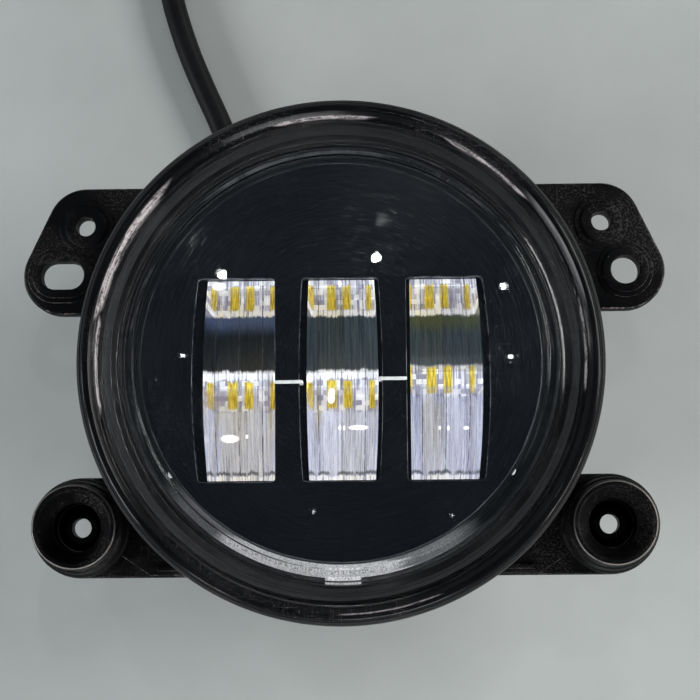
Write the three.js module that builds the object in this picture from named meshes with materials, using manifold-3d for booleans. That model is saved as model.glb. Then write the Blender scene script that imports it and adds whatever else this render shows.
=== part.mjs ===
// A 4-inch round LED fog lamp with its lead and connector, lying on its cooling fins with the lens up.
// Millimetres, +Z up. The origin is under the middle of the lens, on the surface that the fins stand on.
// +X is the side with the round locating hole, and +Y is the side where the cable leaves.
import * as THREE from "three";
import { mergeVertices } from "three/addons/utils/BufferGeometryUtils.js";
import Module from "manifold-3d";

const wasm = await Module();
wasm.setup();

// ---------------------------------------------------------------- driving dimensions

const FIT = 0.3; // gap between pieces that touch

// Front ring, lens and mask
const RING_DIAMETER = 101.6;
const RING_WALL = 1.2;
const RING_LAND = 3.4; // from the outside of the ring to the inner edge of its gloss land
const RING_LIP = 3.7; // height of the ring above the rim of the housing
const RING_SKIRT = 6.1; // how far the ring reaches down over the rim
const RIM_WALL = 2.4;
const RIM_HEIGHT = 6.3; // groove floor to rim
const LENS_SIDE_GAP = 0.5; // room for sealant beside the lens
const LENS_WALL = 2.4;
const LENS_SKIRT_WALL = 2.2;
const LENS_RISE = 7; // from the shoulder to the middle of the dome
const LENS_SHOULDER = 1.4;
const SEAL_THICKNESS = 1;
const MASK_HEIGHT = 8.5;
const MASK_WALL = 2;
const MASK_DRAFT = 2.4; // how far the side wall of the mask leans
const MASK_FLANGE_WIDTH = 1.9;
const MASK_FLANGE_THICKNESS = 1.6;
const LOCATOR_WIDTH = 6.6;

// Housing
const FIN_HEIGHT = 21;
const FIN_THICKNESS = 2.2;
const FIN_PLACES = 20;
const FIN_RUN_OUT = 10; // radial length of the sloping end of a fin
const FLOOR_THICKNESS = 4;
const CAVITY_DEPTH = 20.7; // floor to the ledge that the mask sits on
const LEDGE_DEPTH = 4.3; // ledge to the groove floor
const LEDGE_WIDTH = 1.6;
const HOUSING_WALL = 3.4;
const HUB_RADIUS = 14;
const HUB_WALL = 4.5;
const HUB_FLOOR = 3;
const CHANNEL_WIDTH = 12.4; // between the two fins beside the cable, and beside the vent

// Ears
const EAR_LIFT = 5.5; // from the tops of the fins to the back face of the ears
const EAR_THICKNESS = 3.5;
const EAR_REACH = 11.8; // from the outside of the front ring to the circle of the ear holes
const UPPER_EAR_RADIUS = 8.3;
const UPPER_SCREW_ANGLE = 30.4;
const LOCATING_ANGLE = 20;
const LOWER_SCREW_ANGLE = -30;
const SCREW_HOLE_DIAMETER = 4;
const LOCATING_HOLE_DIAMETER = 6;
const LOCATING_SLOT_LENGTH = 9;
const PAD_HEIGHT = 0.8;
const PAD_WIDTH = 2.6; // flat land round each upper hole
const LOWER_EAR_RADIUS = 10.3;
const BOSS_HEIGHT = 10;
const BOSS_TOP_RADIUS = 8.5;
const BOSS_RIM_WIDTH = 1.2;
const COUNTERBORE_DIAMETER = 10;
const FUNNEL_DEPTH = 3;

// Windows, reflectors and LED plates
const WINDOW_PITCH = 20;
const WINDOW_WIDTH = 14.6;
const WINDOW_TOP = 16;
const WINDOW_BOTTOM = -23.2;
const WINDOW_CORNER = 1.6;
const WINDOW_BULGE = 1.3; // how far the outer edges of the side windows bow out
const REFLECTOR_FOCUS = 5;
const REFLECTOR_WALL = 1.2;
const REFLECTOR_LIP = 0.6;
const REFLECTOR_SIDE = 1.6;
const MIDDLE_PLATE_Y = -2.1; // upper face of the plate between the two rows of cells
const PLATE_THICKNESS = 1;
const PLATE_OVERHANG = 1; // how far the plates stand out past the reflectors on each side
const FOOT_LENGTH = 10;
const FOOT_THICKNESS = 1.5;
const THERMAL_PAD_THICKNESS = 0.6;
const LED_BOARD_THICKNESS = 0.8;
const LED_BOARD_HEIGHT = 13;
const LED_WIDTH = 5.4;
const LED_HEIGHT = 4;
const LED_BASE_THICKNESS = 0.4;
const DIE_SIZE = 2;
const DIE_THICKNESS = 0.25;
const TAB_HALF_WIDTH = 2.8;
const TAB_THICKNESS = 2;
const TAB_DROP = 3; // from the front of the reflectors to the top of their tabs

// Driver
const DRIVER_WIDTH = 38;
const DRIVER_LENGTH = 22;
const DRIVER_THICKNESS = 1.6;
const DRIVER_TOP_EDGE = -11; // edge of the board nearest the hub
const POST_HEIGHT = 2.5;
const POST_RADIUS = 3;
const INDUCTOR_SIZE = 8;
const CAPACITOR_DIAMETER = 6.3;
const WIRE_DIAMETER = 1.6;

// Screws
const PLATE_SCREW_DIAMETER = 3;
const SMALL_SCREW_DIAMETER = 2.2;
const SCREW_DEPTH = 3;

// Cable, strain relief and connector
const CABLE_DIAMETER = 5.2;
const CABLE_ANGLE = 116.6; // direction in which the cable leaves the hub
const CABLE_LEVEL = 9;
const GLAND_NECK_DIAMETER = 8;
const GLAND_FLANGE_DIAMETER = 11;
const GLAND_TAIL = 13;
const VENT_PLACE = 20.5; // distance of the vent from the middle
const VENT_DIAMETER = 4.4;
const COIL_CENTRE = [-12.8, 127];
const COIL_MEAN_RADIUS = 26;
const CABLE_ON_GROUND = 2.7; // height of the middle of the cable where it lies
const TAIL_LEVEL = 8.6; // height of the cable where it lies on its own coil
const CONNECTOR_PLACE = 34; // from the middle of the coil to the back of the connector
const CONNECTOR_LENGTH = 30;
const CONNECTOR_WIDTH = 19;
const CONNECTOR_HEIGHT = 16.4;
const CONNECTOR_WALL = 1.7;
const SOCKET_DEPTH = 16;
const BLADE_WIDTH = 2.8;
const BLADE_THICKNESS = 0.8;
const BLADE_LENGTH = 16;
const BLADE_PITCH = 7;

// ---------------------------------------------------------------- sizes that follow

const ringRadius = RING_DIAMETER / 2;
const rimRadius = ringRadius - RING_WALL - FIT;
const grooveRadius = rimRadius - RIM_WALL;
const lensRadius = grooveRadius - LENS_SIDE_GAP;
const lensInnerRadius = lensRadius - LENS_SKIRT_WALL;
const ledgeRadius = lensInnerRadius - LENS_SIDE_GAP - 0.2;
const maskRadius = ledgeRadius - FIT;
const maskFootRadius = maskRadius - MASK_FLANGE_WIDTH;
const maskFaceRadius = maskFootRadius - MASK_DRAFT;
const cavityRadius = ledgeRadius - LEDGE_WIDTH;
const wallRadius = cavityRadius + HOUSING_WALL;
const finRadius = wallRadius - 1;
const hubBore = HUB_RADIUS - HUB_WALL;

const floorLevel = FIN_HEIGHT + FLOOR_THICKNESS;
const ledgeLevel = floorLevel + CAVITY_DEPTH;
const grooveLevel = ledgeLevel + LEDGE_DEPTH;
const rimLevel = grooveLevel + RIM_HEIGHT;
const ringLevel = rimLevel + RING_LIP;
const sealTop = grooveLevel + FIT + SEAL_THICKNESS;
const maskBase = ledgeLevel + FIT;
const maskFace = maskBase + MASK_HEIGHT;
const shoulderLevel = rimLevel + FIT + 0.5;
const lensTop = shoulderLevel + LENS_RISE;
const earLevel = FIN_HEIGHT + EAR_LIFT;
const earFace = earLevel + EAR_THICKNESS;
const padLevel = earFace + PAD_HEIGHT;

const holeCircle = ringRadius + EAR_REACH;
const screwHoleRadius = SCREW_HOLE_DIAMETER / 2;
const locatingRadius = LOCATING_HOLE_DIAMETER / 2;
const slotStretch = LOCATING_SLOT_LENGTH - LOCATING_HOLE_DIAMETER;

const windowCentres = [-WINDOW_PITCH, 0, WINDOW_PITCH];
const cellWidth = WINDOW_WIDTH - 0.6;
const reflectorFront = maskFace - MASK_WALL - FIT;
const reflectorHalfWidth = WINDOW_PITCH + WINDOW_WIDTH / 2 + REFLECTOR_SIDE;
const plateHalfWidth = reflectorHalfWidth + PLATE_OVERHANG;
const boardHalfWidth = plateHalfWidth - 0.5;
const tongueHalfWidth = WINDOW_PITCH + cellWidth / 2 - 0.4;
const tabTop = reflectorFront - TAB_DROP;
const tabBottom = tabTop - TAB_THICKNESS;
const maskBack = maskFace - MASK_WALL;
const maskInnerFoot = maskFootRadius - MASK_WALL * 0.9;
const maskInnerFace = maskFaceRadius - MASK_WALL * 0.9;
const plateEdge = maskFace - FIT; // the middle plate shows through the mask, flush with its face
const plateBottom = floorLevel + THERMAL_PAD_THICKNESS + 2 * FIT;
const upperCellEnd = MIDDLE_PLATE_Y + FIT + REFLECTOR_LIP;
const upperCellStart = WINDOW_TOP - 1.1;
const lowerBoardFace = MIDDLE_PLATE_Y - PLATE_THICKNESS - FIT - LED_BOARD_THICKNESS;
const lowerCellStart = lowerBoardFace - FIT;
const lowerCellEnd = WINDOW_BOTTOM + 0.3;
const upperBoardFace = upperCellStart + FIT;
const upperPlateY = upperBoardFace + LED_BOARD_THICKNESS + FIT + PLATE_THICKNESS;

const plateScrewHole = PLATE_SCREW_DIAMETER / 2 + FIT;
const smallScrewHole = SMALL_SCREW_DIAMETER / 2 + FIT;
const driverLevel = floorLevel + POST_HEIGHT + FIT;
const driverTop = driverLevel + DRIVER_THICKNESS;
const cableRadius = CABLE_DIAMETER / 2;
const turnPitch = CABLE_DIAMETER + 0.2;
const coilOuter = COIL_MEAN_RADIUS + turnPitch / 2 + cableRadius + 0.2;
const coilInner = COIL_MEAN_RADIUS - turnPitch / 2 - cableRadius - 0.2;
const coilTop = TAIL_LEVEL - cableRadius - FIT;
const glandStart = hubBore - 3.3;
const glandFlange = HUB_RADIUS + 0.4;
const glandTip = glandFlange + GLAND_TAIL;

// ---------------------------------------------------------------- shapes

function asSolid(geometry) {
  const bare = geometry.clone();
  bare.deleteAttribute("normal");
  bare.deleteAttribute("uv");
  const merged = mergeVertices(bare, 1e-4);
  const vertProperties = new Float32Array(merged.getAttribute("position").array);
  const triVerts = new Uint32Array(merged.index.array);
  return new wasm.Manifold(new wasm.Mesh({ numProp: 3, vertProperties, triVerts }));
}

function asGeometry(solid) {
  const mesh = solid.getMesh();
  const geometry = new THREE.BufferGeometry();
  geometry.setAttribute("position", new THREE.BufferAttribute(mesh.vertProperties, 3));
  geometry.setIndex(new THREE.BufferAttribute(mesh.triVerts, 1));
  return geometry;
}

function join(...pieces) {
  return asGeometry(pieces.map(asSolid).reduce((whole, piece) => whole.add(piece)));
}

function cut(body, ...tools) {
  return asGeometry(tools.map(asSolid).reduce((rest, tool) => rest.subtract(tool), asSolid(body)));
}

// A profile of [radius, height] points turned about an upright axis at x, y. It is listed with its
// outside going up, and starts and ends on the axis or closes on itself.
function turned(profile, { x = 0, y = 0, segments = 48 } = {}) {
  const points = profile.map(([radius, height]) => new THREE.Vector2(radius, height));
  return new THREE.LatheGeometry(points, segments).rotateX(Math.PI / 2).translate(x, y, 0);
}

function rod(radius, bottom, top, x = 0, y = 0, segments = 16) {
  const profile = [[0, bottom], [radius, bottom], [radius, top], [0, top]];
  return turned(profile, { x, y, segments });
}

// A flat ring, or a tube with a square section.
function sleeve(inner, outer, bottom, top, options) {
  const profile = [[inner, bottom], [outer, bottom], [outer, top], [inner, top], [inner, bottom]];
  return turned(profile, options);
}

function block(x0, x1, y0, y1, z0, z1) {
  const box = new THREE.BoxGeometry(x1 - x0, y1 - y0, z1 - z0);
  return box.translate((x0 + x1) / 2, (y0 + y1) / 2, (z0 + z1) / 2);
}

function outline(points) {
  return new THREE.Shape(points.map(([x, y]) => new THREE.Vector2(x, y)));
}

function extruded(shape, depth, curveSegments = 6) {
  return new THREE.ExtrudeGeometry(shape, { depth, curveSegments, bevelEnabled: false });
}

// A shape drawn in X and Y, standing from one level to another.
function slab(shape, bottom, top, curveSegments) {
  return extruded(shape, top - bottom, curveSegments).translate(0, 0, bottom);
}

// A shape drawn in Y and Z, running along X.
function across(shape, x0, x1, curveSegments) {
  const turn = new THREE.Matrix4().makeBasis(
    new THREE.Vector3(0, 1, 0),
    new THREE.Vector3(0, 0, 1),
    new THREE.Vector3(1, 0, 0),
  );
  return extruded(shape, x1 - x0, curveSegments).applyMatrix4(turn).translate(x0, 0, 0);
}

// A shape drawn in X and Z, running along Y.
function upright(shape, y0, y1) {
  return extruded(shape, y1 - y0).rotateX(Math.PI / 2).translate(0, y1, 0);
}

function tube(points, diameter, sides, steps) {
  const corners = Array.from({ length: sides }, (_, i) => {
    const angle = (2 * Math.PI * i) / sides;
    return [(Math.cos(angle) * diameter) / 2, (Math.sin(angle) * diameter) / 2];
  });
  const extrudePath = new THREE.CatmullRomCurve3(points.map((point) => new THREE.Vector3(...point)));
  return new THREE.ExtrudeGeometry(outline(corners), { steps, extrudePath, bevelEnabled: false });
}

function polar(radius, degrees) {
  const angle = THREE.MathUtils.degToRad(degrees);
  return [radius * Math.cos(angle), radius * Math.sin(angle)];
}

// ---------------------------------------------------------------- finishes and the assembly

const CAST_BLACK = { color: 0x17181a, roughness: 0.6, metalness: 0.3 };
const GLOSS_BLACK = { color: 0x0b0d11, roughness: 0.15, metalness: 0 };
const CLEAR = { color: 0xe8eef2, roughness: 0.05, metalness: 0, transparent: true, opacity: 0.25 };
const CHROME = { color: 0xd9d8e4, roughness: 0.12, metalness: 1 };
const ALUMINIUM = { color: 0xc9cacd, roughness: 0.35, metalness: 1 };
const STEEL = { color: 0xa7a9ac, roughness: 0.35, metalness: 1 };
const RUBBER = { color: 0x141414, roughness: 0.85, metalness: 0 };
const WHITE_BOARD = { color: 0xe9e9e4, roughness: 0.5, metalness: 0 };
const GREEN_BOARD = { color: 0x1f5b3a, roughness: 0.5, metalness: 0 };
const PHOSPHOR = { color: 0xe6c23a, roughness: 0.5, metalness: 0 };
const GREY_PAD = { color: 0x8d9aa6, roughness: 0.9, metalness: 0 };
const BRASS = { color: 0xc9b27a, roughness: 0.3, metalness: 1 };
const BLACK_PLASTIC = { color: 0x1b1c1e, roughness: 0.5, metalness: 0 };
const RED_WIRE = { color: 0xa3221d, roughness: 0.6, metalness: 0 };
const BLACK_WIRE = { color: 0x1a1a1a, roughness: 0.6, metalness: 0 };

const lamp = new THREE.Group();

function add(name, geometry, finish, parent = lamp) {
  const material = new THREE.MeshStandardMaterial({ ...finish, flatShading: true });
  const mesh = new THREE.Mesh(geometry, material);
  mesh.name = name;
  parent.add(mesh);
  return mesh;
}

// ---------------------------------------------------------------- housing

function housingCup() {
  return turned([
    [0, 0],
    [HUB_RADIUS, 0],
    [HUB_RADIUS, FIN_HEIGHT],
    [wallRadius - 2, FIN_HEIGHT],
    [wallRadius, FIN_HEIGHT + 2],
    [wallRadius, ledgeLevel - 1],
    [rimRadius, grooveLevel],
    [rimRadius, rimLevel],
    [grooveRadius, rimLevel],
    [grooveRadius, grooveLevel],
    [ledgeRadius, grooveLevel],
    [ledgeRadius, ledgeLevel],
    [cavityRadius, ledgeLevel],
    [cavityRadius, floorLevel],
    [hubBore, floorLevel],
    [hubBore, HUB_FLOOR],
    [0, HUB_FLOOR],
  ]);
}

// An upright plate that runs outwards in one direction, from an outline of [radius, height] points.
function radialPlate(points, thickness, degrees, offset = 0) {
  const plate = upright(outline(points), offset - thickness / 2, offset + thickness / 2);
  return plate.rotateZ(THREE.MathUtils.degToRad(degrees));
}

function fin(degrees, offset = 0) {
  const start = HUB_RADIUS - 3;
  const flatEnd = finRadius - FIN_RUN_OUT;
  const points = [
    [start, 0],
    [flatEnd, 0],
    [finRadius, FIN_RUN_OUT],
    [finRadius, FIN_HEIGHT + 0.5],
    [start, FIN_HEIGHT + 0.5],
  ];
  return radialPlate(points, FIN_THICKNESS, degrees, offset);
}

// The fins leave out the places of the cable and the vent, where two parallel fins make a channel.
function fins() {
  const step = 360 / FIN_PLACES;
  const places = Array.from({ length: FIN_PLACES }, (_, i) => i);
  const channels = [0, FIN_PLACES / 2];
  const spokes = places
    .filter((i) => !channels.includes(i))
    .map((i) => fin(CABLE_ANGLE + i * step));
  const side = (CHANNEL_WIDTH + FIN_THICKNESS) / 2;
  const walls = channels.flatMap((i) => [-side, side].map((offset) => fin(CABLE_ANGLE + i * step, offset)));
  const half = CHANNEL_WIDTH / 2;
  const channel = block(-ringRadius, ringRadius, -half, half, -1, FIN_HEIGHT + 1);
  const spokesBeside = cut(join(...spokes), channel.rotateZ(THREE.MathUtils.degToRad(CABLE_ANGLE)));
  return join(spokesBeside, ...walls);
}

// The hole places of the ears, for side -1 or 1.
function earPlaces(side) {
  const place = (degrees) => {
    const [x, y] = polar(holeCircle, degrees);
    return [side * x, y];
  };
  return {
    screw: place(UPPER_SCREW_ANGLE),
    locating: place(LOCATING_ANGLE),
    lower: place(LOWER_SCREW_ANGLE),
  };
}

// A rounded plate round two holes, running in under the front ring.
function upperEarShape() {
  const { screw, locating } = earPlaces(1);
  const inner = wallRadius * 0.6;
  const lean = Math.atan2(screw[1] - locating[1], screw[0] - locating[0]) - Math.PI / 2;
  const shape = new THREE.Shape();
  shape.moveTo(inner, locating[1] - UPPER_EAR_RADIUS);
  shape.absarc(locating[0], locating[1], UPPER_EAR_RADIUS, -Math.PI / 2, lean, false);
  shape.absarc(screw[0], screw[1], UPPER_EAR_RADIUS, lean, Math.PI / 2, false);
  shape.lineTo(inner, screw[1] + UPPER_EAR_RADIUS);
  return shape;
}

function lowerEarShape() {
  const [x, y] = earPlaces(1).lower;
  const inner = wallRadius * 0.45;
  const shape = new THREE.Shape();
  shape.moveTo(inner, y - LOWER_EAR_RADIUS);
  shape.absarc(x, y, LOWER_EAR_RADIUS, -Math.PI / 2, Math.PI / 2, false);
  shape.lineTo(inner, y + LOWER_EAR_RADIUS);
  return shape;
}

// A long hole or pad with round ends, along X.
function stadium(x, y, radius, stretch) {
  const shape = new THREE.Shape();
  shape.absarc(x + stretch / 2, y, radius, -Math.PI / 2, Math.PI / 2, false);
  shape.absarc(x - stretch / 2, y, radius, Math.PI / 2, (3 * Math.PI) / 2, false);
  return shape;
}

function mirrored(shape, side) {
  return side > 0 ? shape : outline(shape.getPoints(6).map(({ x, y }) => [-x, y]).reverse());
}

function gusset(degrees) {
  const points = [
    [wallRadius - 1, FIN_HEIGHT + 2.5],
    [wallRadius + 1, FIN_HEIGHT + 2.5],
    [holeCircle - LOWER_EAR_RADIUS * 0.6, earLevel + 0.5],
    [wallRadius - 1, earLevel + 0.5],
  ];
  return radialPlate(points, FIN_THICKNESS, degrees);
}

function ear(side) {
  const { screw, locating, lower } = earPlaces(side);
  const stretch = side < 0 ? slotStretch : 0;
  const pads = [
    rod(screwHoleRadius + PAD_WIDTH, earFace - 0.5, padLevel, ...screw),
    slab(stadium(...locating, locatingRadius + PAD_WIDTH, stretch), earFace - 0.5, padLevel),
  ];
  const boss = turned(
    [
      [0, earFace - 0.5],
      [LOWER_EAR_RADIUS - 0.3, earFace - 0.5],
      [LOWER_EAR_RADIUS - 0.3, earFace],
      [BOSS_TOP_RADIUS, earFace + BOSS_HEIGHT],
      [0, earFace + BOSS_HEIGHT],
    ],
    { x: lower[0], y: lower[1], segments: 24 },
  );
  return join(
    slab(mirrored(upperEarShape(), side), earLevel, earFace),
    slab(mirrored(lowerEarShape(), side), earLevel, earFace),
    ...pads,
    boss,
  );
}

function earHoles(side) {
  const { screw, locating, lower } = earPlaces(side);
  const stretch = side < 0 ? slotStretch : 0;
  const bossTop = earFace + BOSS_HEIGHT;
  const counterbore = COUNTERBORE_DIAMETER / 2;
  const mouth = BOSS_TOP_RADIUS - BOSS_RIM_WIDTH;
  const funnel = turned(
    [
      [0, earFace],
      [counterbore, earFace],
      [counterbore, bossTop - FUNNEL_DEPTH],
      [mouth, bossTop],
      [mouth, bossTop + 1],
      [0, bossTop + 1],
    ],
    { x: lower[0], y: lower[1], segments: 24 },
  );
  return [
    rod(screwHoleRadius, earLevel - 1, padLevel + 1, ...screw),
    slab(stadium(...locating, locatingRadius, stretch), earLevel - 1, padLevel + 1),
    rod(screwHoleRadius, earLevel - 1, earFace + 1, ...lower),
    funnel,
  ];
}

function plateScrewPlaces() {
  const x = plateHalfWidth - 8;
  const rows = [MIDDLE_PLATE_Y + FOOT_LENGTH * 0.6, upperPlateY + FOOT_LENGTH * 0.5];
  return rows.flatMap((y) => [[-x, y], [x, y]]);
}

function driverPostPlaces() {
  const x = DRIVER_WIDTH / 2 - 3;
  const y = DRIVER_TOP_EDGE - 3;
  const far = DRIVER_TOP_EDGE - DRIVER_LENGTH + 3;
  return [[-x, y], [x, y], [-x, far], [x, far]];
}

// Pieces that lie along the cable where it leaves the hub.
function alongCable(geometry) {
  const turn = THREE.MathUtils.degToRad(CABLE_ANGLE);
  return geometry.rotateY(Math.PI / 2).rotateZ(turn).translate(0, 0, CABLE_LEVEL);
}

function ventPlace() {
  return polar(VENT_PLACE, CABLE_ANGLE + 180);
}

function housing() {
  const inside = rod(cavityRadius + HOUSING_WALL / 2, floorLevel - 1, ledgeLevel, 0, 0, 48);
  const ears = cut(join(ear(-1), ear(1)), inside);
  const earAngles = [UPPER_SCREW_ANGLE - 5, LOWER_SCREW_ANGLE];
  const gussets = earAngles.flatMap((angle) => [gusset(angle), gusset(180 - angle)]);
  const postTop = floorLevel + POST_HEIGHT;
  const posts = driverPostPlaces().map(([x, y]) => rod(POST_RADIUS, floorLevel - 1, postTop, x, y));
  const body = join(housingCup(), fins(), ears, ...gussets, ...posts);
  const plateHoles = plateScrewPlaces().map(([x, y]) => {
    return rod(plateScrewHole, floorLevel - SCREW_DEPTH - FIT, floorLevel + 1, x, y);
  });
  const postHoles = driverPostPlaces().map(([x, y]) => {
    return rod(smallScrewHole, postTop - SCREW_DEPTH - FIT, postTop + 1, x, y, 12);
  });
  return cut(
    body,
    ...earHoles(-1),
    ...earHoles(1),
    ...plateHoles,
    ...postHoles,
    rod(VENT_DIAMETER / 2 + FIT, FIN_HEIGHT - 1, floorLevel + 1, ...ventPlace()),
    alongCable(rod(GLAND_NECK_DIAMETER / 2 + FIT, hubBore - 3, HUB_RADIUS + 1)),
  );
}

// ---------------------------------------------------------------- front ring, lens, seal and mask

function frontRing() {
  const inner = grooveRadius - 0.1;
  const skirtInner = ringRadius - RING_WALL;
  const underside = rimLevel + FIT;
  return turned(
    [
      [skirtInner, rimLevel - RING_SKIRT],
      [ringRadius, rimLevel - RING_SKIRT + 0.6],
      [ringRadius, ringLevel - 2.6],
      [ringRadius - 0.5, ringLevel - 1.2],
      [ringRadius - 1.2, ringLevel - 0.4],
      [ringRadius - RING_LAND, ringLevel],
      [inner, underside],
      [skirtInner, underside],
      [skirtInner, rimLevel - RING_SKIRT],
    ],
    { segments: 60 },
  );
}

// Height that the dome of the lens has lost at a radius.
function domeDrop(radius) {
  const edge = lensRadius - LENS_SHOULDER;
  const sphere = (edge * edge + LENS_RISE * LENS_RISE) / (2 * LENS_RISE);
  return sphere - Math.sqrt(sphere * sphere - radius * radius);
}

function lens() {
  const edge = lensRadius - LENS_SHOULDER;
  const steps = 6;
  const shares = Array.from({ length: steps + 1 }, (_, i) => i / steps);
  const outside = shares.map((share) => [share * edge, lensTop - domeDrop(share * edge)]).reverse();
  const innerEdge = lensInnerRadius - 1.2;
  const inside = shares.map((share) => {
    return [share * innerEdge, lensTop - LENS_WALL - domeDrop(share * innerEdge)];
  });
  return turned([
    ...inside,
    [lensInnerRadius, lensTop - LENS_WALL - domeDrop(innerEdge) - 1.4],
    [lensInnerRadius, sealTop + FIT],
    [lensRadius, sealTop + FIT],
    [lensRadius, shoulderLevel - 1.6],
    [lensRadius - 0.4, shoulderLevel - 0.6],
    ...outside,
  ]);
}

function lensSeal() {
  const inner = ledgeRadius + FIT;
  const outer = grooveRadius - FIT;
  return sleeve(inner, outer, grooveLevel + FIT, sealTop);
}

// An opening with rounded corners whose left and right sides may bow out.
function windowShape(centre, leftBulge, rightBulge) {
  const left = centre - WINDOW_WIDTH / 2;
  const right = centre + WINDOW_WIDTH / 2;
  const middle = (WINDOW_TOP + WINDOW_BOTTOM) / 2;
  const c = WINDOW_CORNER;
  const shape = new THREE.Shape();
  shape.moveTo(left + c, WINDOW_BOTTOM);
  shape.lineTo(right - c, WINDOW_BOTTOM);
  shape.quadraticCurveTo(right, WINDOW_BOTTOM, right, WINDOW_BOTTOM + c);
  shape.quadraticCurveTo(right + 2 * rightBulge, middle, right, WINDOW_TOP - c);
  shape.quadraticCurveTo(right, WINDOW_TOP, right - c, WINDOW_TOP);
  shape.lineTo(left + c, WINDOW_TOP);
  shape.quadraticCurveTo(left, WINDOW_TOP, left, WINDOW_TOP - c);
  shape.quadraticCurveTo(left - 2 * leftBulge, middle, left, WINDOW_BOTTOM + c);
  shape.quadraticCurveTo(left, WINDOW_BOTTOM, left + c, WINDOW_BOTTOM);
  return shape;
}

// How far the tabs of the reflectors reach sideways before they meet the side wall of the mask.
function tabReach() {
  const rise = (tabTop - maskBase) / (maskBack - maskBase);
  const wall = maskInnerFoot + (maskInnerFace - maskInnerFoot) * rise - FIT;
  const far = Math.abs(lowerCellStart + lowerCellEnd) / 2 + TAB_HALF_WIDTH;
  return Math.sqrt(wall ** 2 - far ** 2);
}

// Places of the screws that hold each reflector to the back of the mask: the upper pair, then the lower.
function reflectorScrewPlaces() {
  const x = (reflectorHalfWidth + tabReach()) / 2;
  const rows = [(upperCellStart + upperCellEnd) / 2, (lowerCellStart + lowerCellEnd) / 2];
  return rows.flatMap((y) => [[-x, y], [x, y]]);
}

function mask() {
  const back = maskBack;
  const flangeTop = maskBase + MASK_FLANGE_THICKNESS;
  const shell = turned([
    [0, back],
    [maskInnerFace, back],
    [maskInnerFoot, maskBase],
    [maskRadius, maskBase],
    [maskRadius, flangeTop],
    [maskFootRadius, flangeTop],
    [maskFaceRadius, maskFace - 0.5],
    [maskFaceRadius - 0.6, maskFace],
    [0, maskFace],
  ]);
  const reach = Math.sqrt(maskRadius ** 2 - (LOCATOR_WIDTH / 2) ** 2) - 0.2;
  const half = LOCATOR_WIDTH / 2;
  const locator = block(-half, half, -reach, MASK_WALL - maskFootRadius, maskBase, flangeTop + 1.2);
  const bossRadius = (tabReach() - reflectorHalfWidth) / 2 - FIT;
  const bosses = reflectorScrewPlaces().map(([x, y]) => rod(bossRadius, tabTop + FIT, back + 0.5, x, y));
  const bossHoles = reflectorScrewPlaces().map(([x, y]) => {
    return rod(smallScrewHole, tabTop - 1, tabTop + FIT + SCREW_DEPTH, x, y, 12);
  });
  const [left, centre, right] = windowCentres;
  const slit = WINDOW_PITCH - WINDOW_WIDTH / 2 + 0.5;
  const plateBack = MIDDLE_PLATE_Y - PLATE_THICKNESS;
  return cut(
    join(shell, locator, ...bosses),
    slab(windowShape(left, WINDOW_BULGE, 0), back - 1, maskFace + 1, 4),
    slab(windowShape(centre, WINDOW_BULGE / 2, WINDOW_BULGE / 2), back - 1, maskFace + 1, 4),
    slab(windowShape(right, 0, WINDOW_BULGE), back - 1, maskFace + 1, 4),
    block(-slit, slit, plateBack - FIT, MIDDLE_PLATE_Y + FIT, back - 1, maskFace + 1),
    ...bossHoles,
  );
}

// ---------------------------------------------------------------- reflectors, LED plates and LEDs

function cellVertex(start, end) {
  return reflectorFront - (start - end) ** 2 / (4 * REFLECTOR_FOCUS);
}

// The curve of a cell, a parabola whose focus is the LED, as [y, z] points from the LED to the front.
function cellCurve(start, end, dy = 0, dz = 0) {
  const steps = 8;
  const vertex = cellVertex(start, end);
  return Array.from({ length: steps + 1 }, (_, i) => {
    const run = ((end - start) * i) / steps;
    return [start + run + dy, vertex + (run * run) / (4 * REFLECTOR_FOCUS) + dz];
  });
}

function reflector(start, end) {
  const outside = cellCurve(start, end, -REFLECTOR_LIP, -REFLECTOR_WALL);
  const under = cellVertex(start, end) - REFLECTOR_WALL;
  const section = outline([
    [start, reflectorFront],
    [end - REFLECTOR_LIP, reflectorFront],
    ...outside.reverse(),
    [start, under],
  ]);
  const body = across(section, -reflectorHalfWidth, reflectorHalfWidth);
  const hollow = outline([
    [start + 1, reflectorFront + 1],
    [end, reflectorFront + 1],
    ...cellCurve(start, end).reverse(),
    [start + 1, cellVertex(start, end)],
  ]);
  const cells = windowCentres.map((x) => across(hollow, x - cellWidth / 2, x + cellWidth / 2));
  const middle = (start + end) / 2;
  const reach = tabReach();
  const near = reflectorHalfWidth - 1;
  const tabs = [[-reach, -near], [near, reach]].map(([low, high]) => {
    return block(low, high, middle - TAB_HALF_WIDTH, middle + TAB_HALF_WIDTH, tabBottom, tabTop);
  });
  const x = (reflectorHalfWidth + reach) / 2;
  const holes = [-x, x].map((place) => {
    return rod(smallScrewHole, tabBottom - 1, tabTop + 1, place, middle, 12);
  });
  return trimmed(cut(join(body, ...tabs), ...cells, ...holes));
}

// What is left of a piece inside the room that the floor, the walls and the mask leave, less a gap.
function trimmed(geometry) {
  const room = turned([
    [0, floorLevel],
    [cavityRadius - FIT, floorLevel],
    [cavityRadius - FIT, maskBase],
    [maskInnerFoot - FIT, maskBase],
    [maskInnerFace - FIT, maskBack - FIT],
    [tongueHalfWidth + 1, maskBack - FIT],
    [tongueHalfWidth + 1, maskFace],
    [0, maskFace],
  ]);
  return asGeometry(asSolid(geometry).intersect(asSolid(room)));
}

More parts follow.
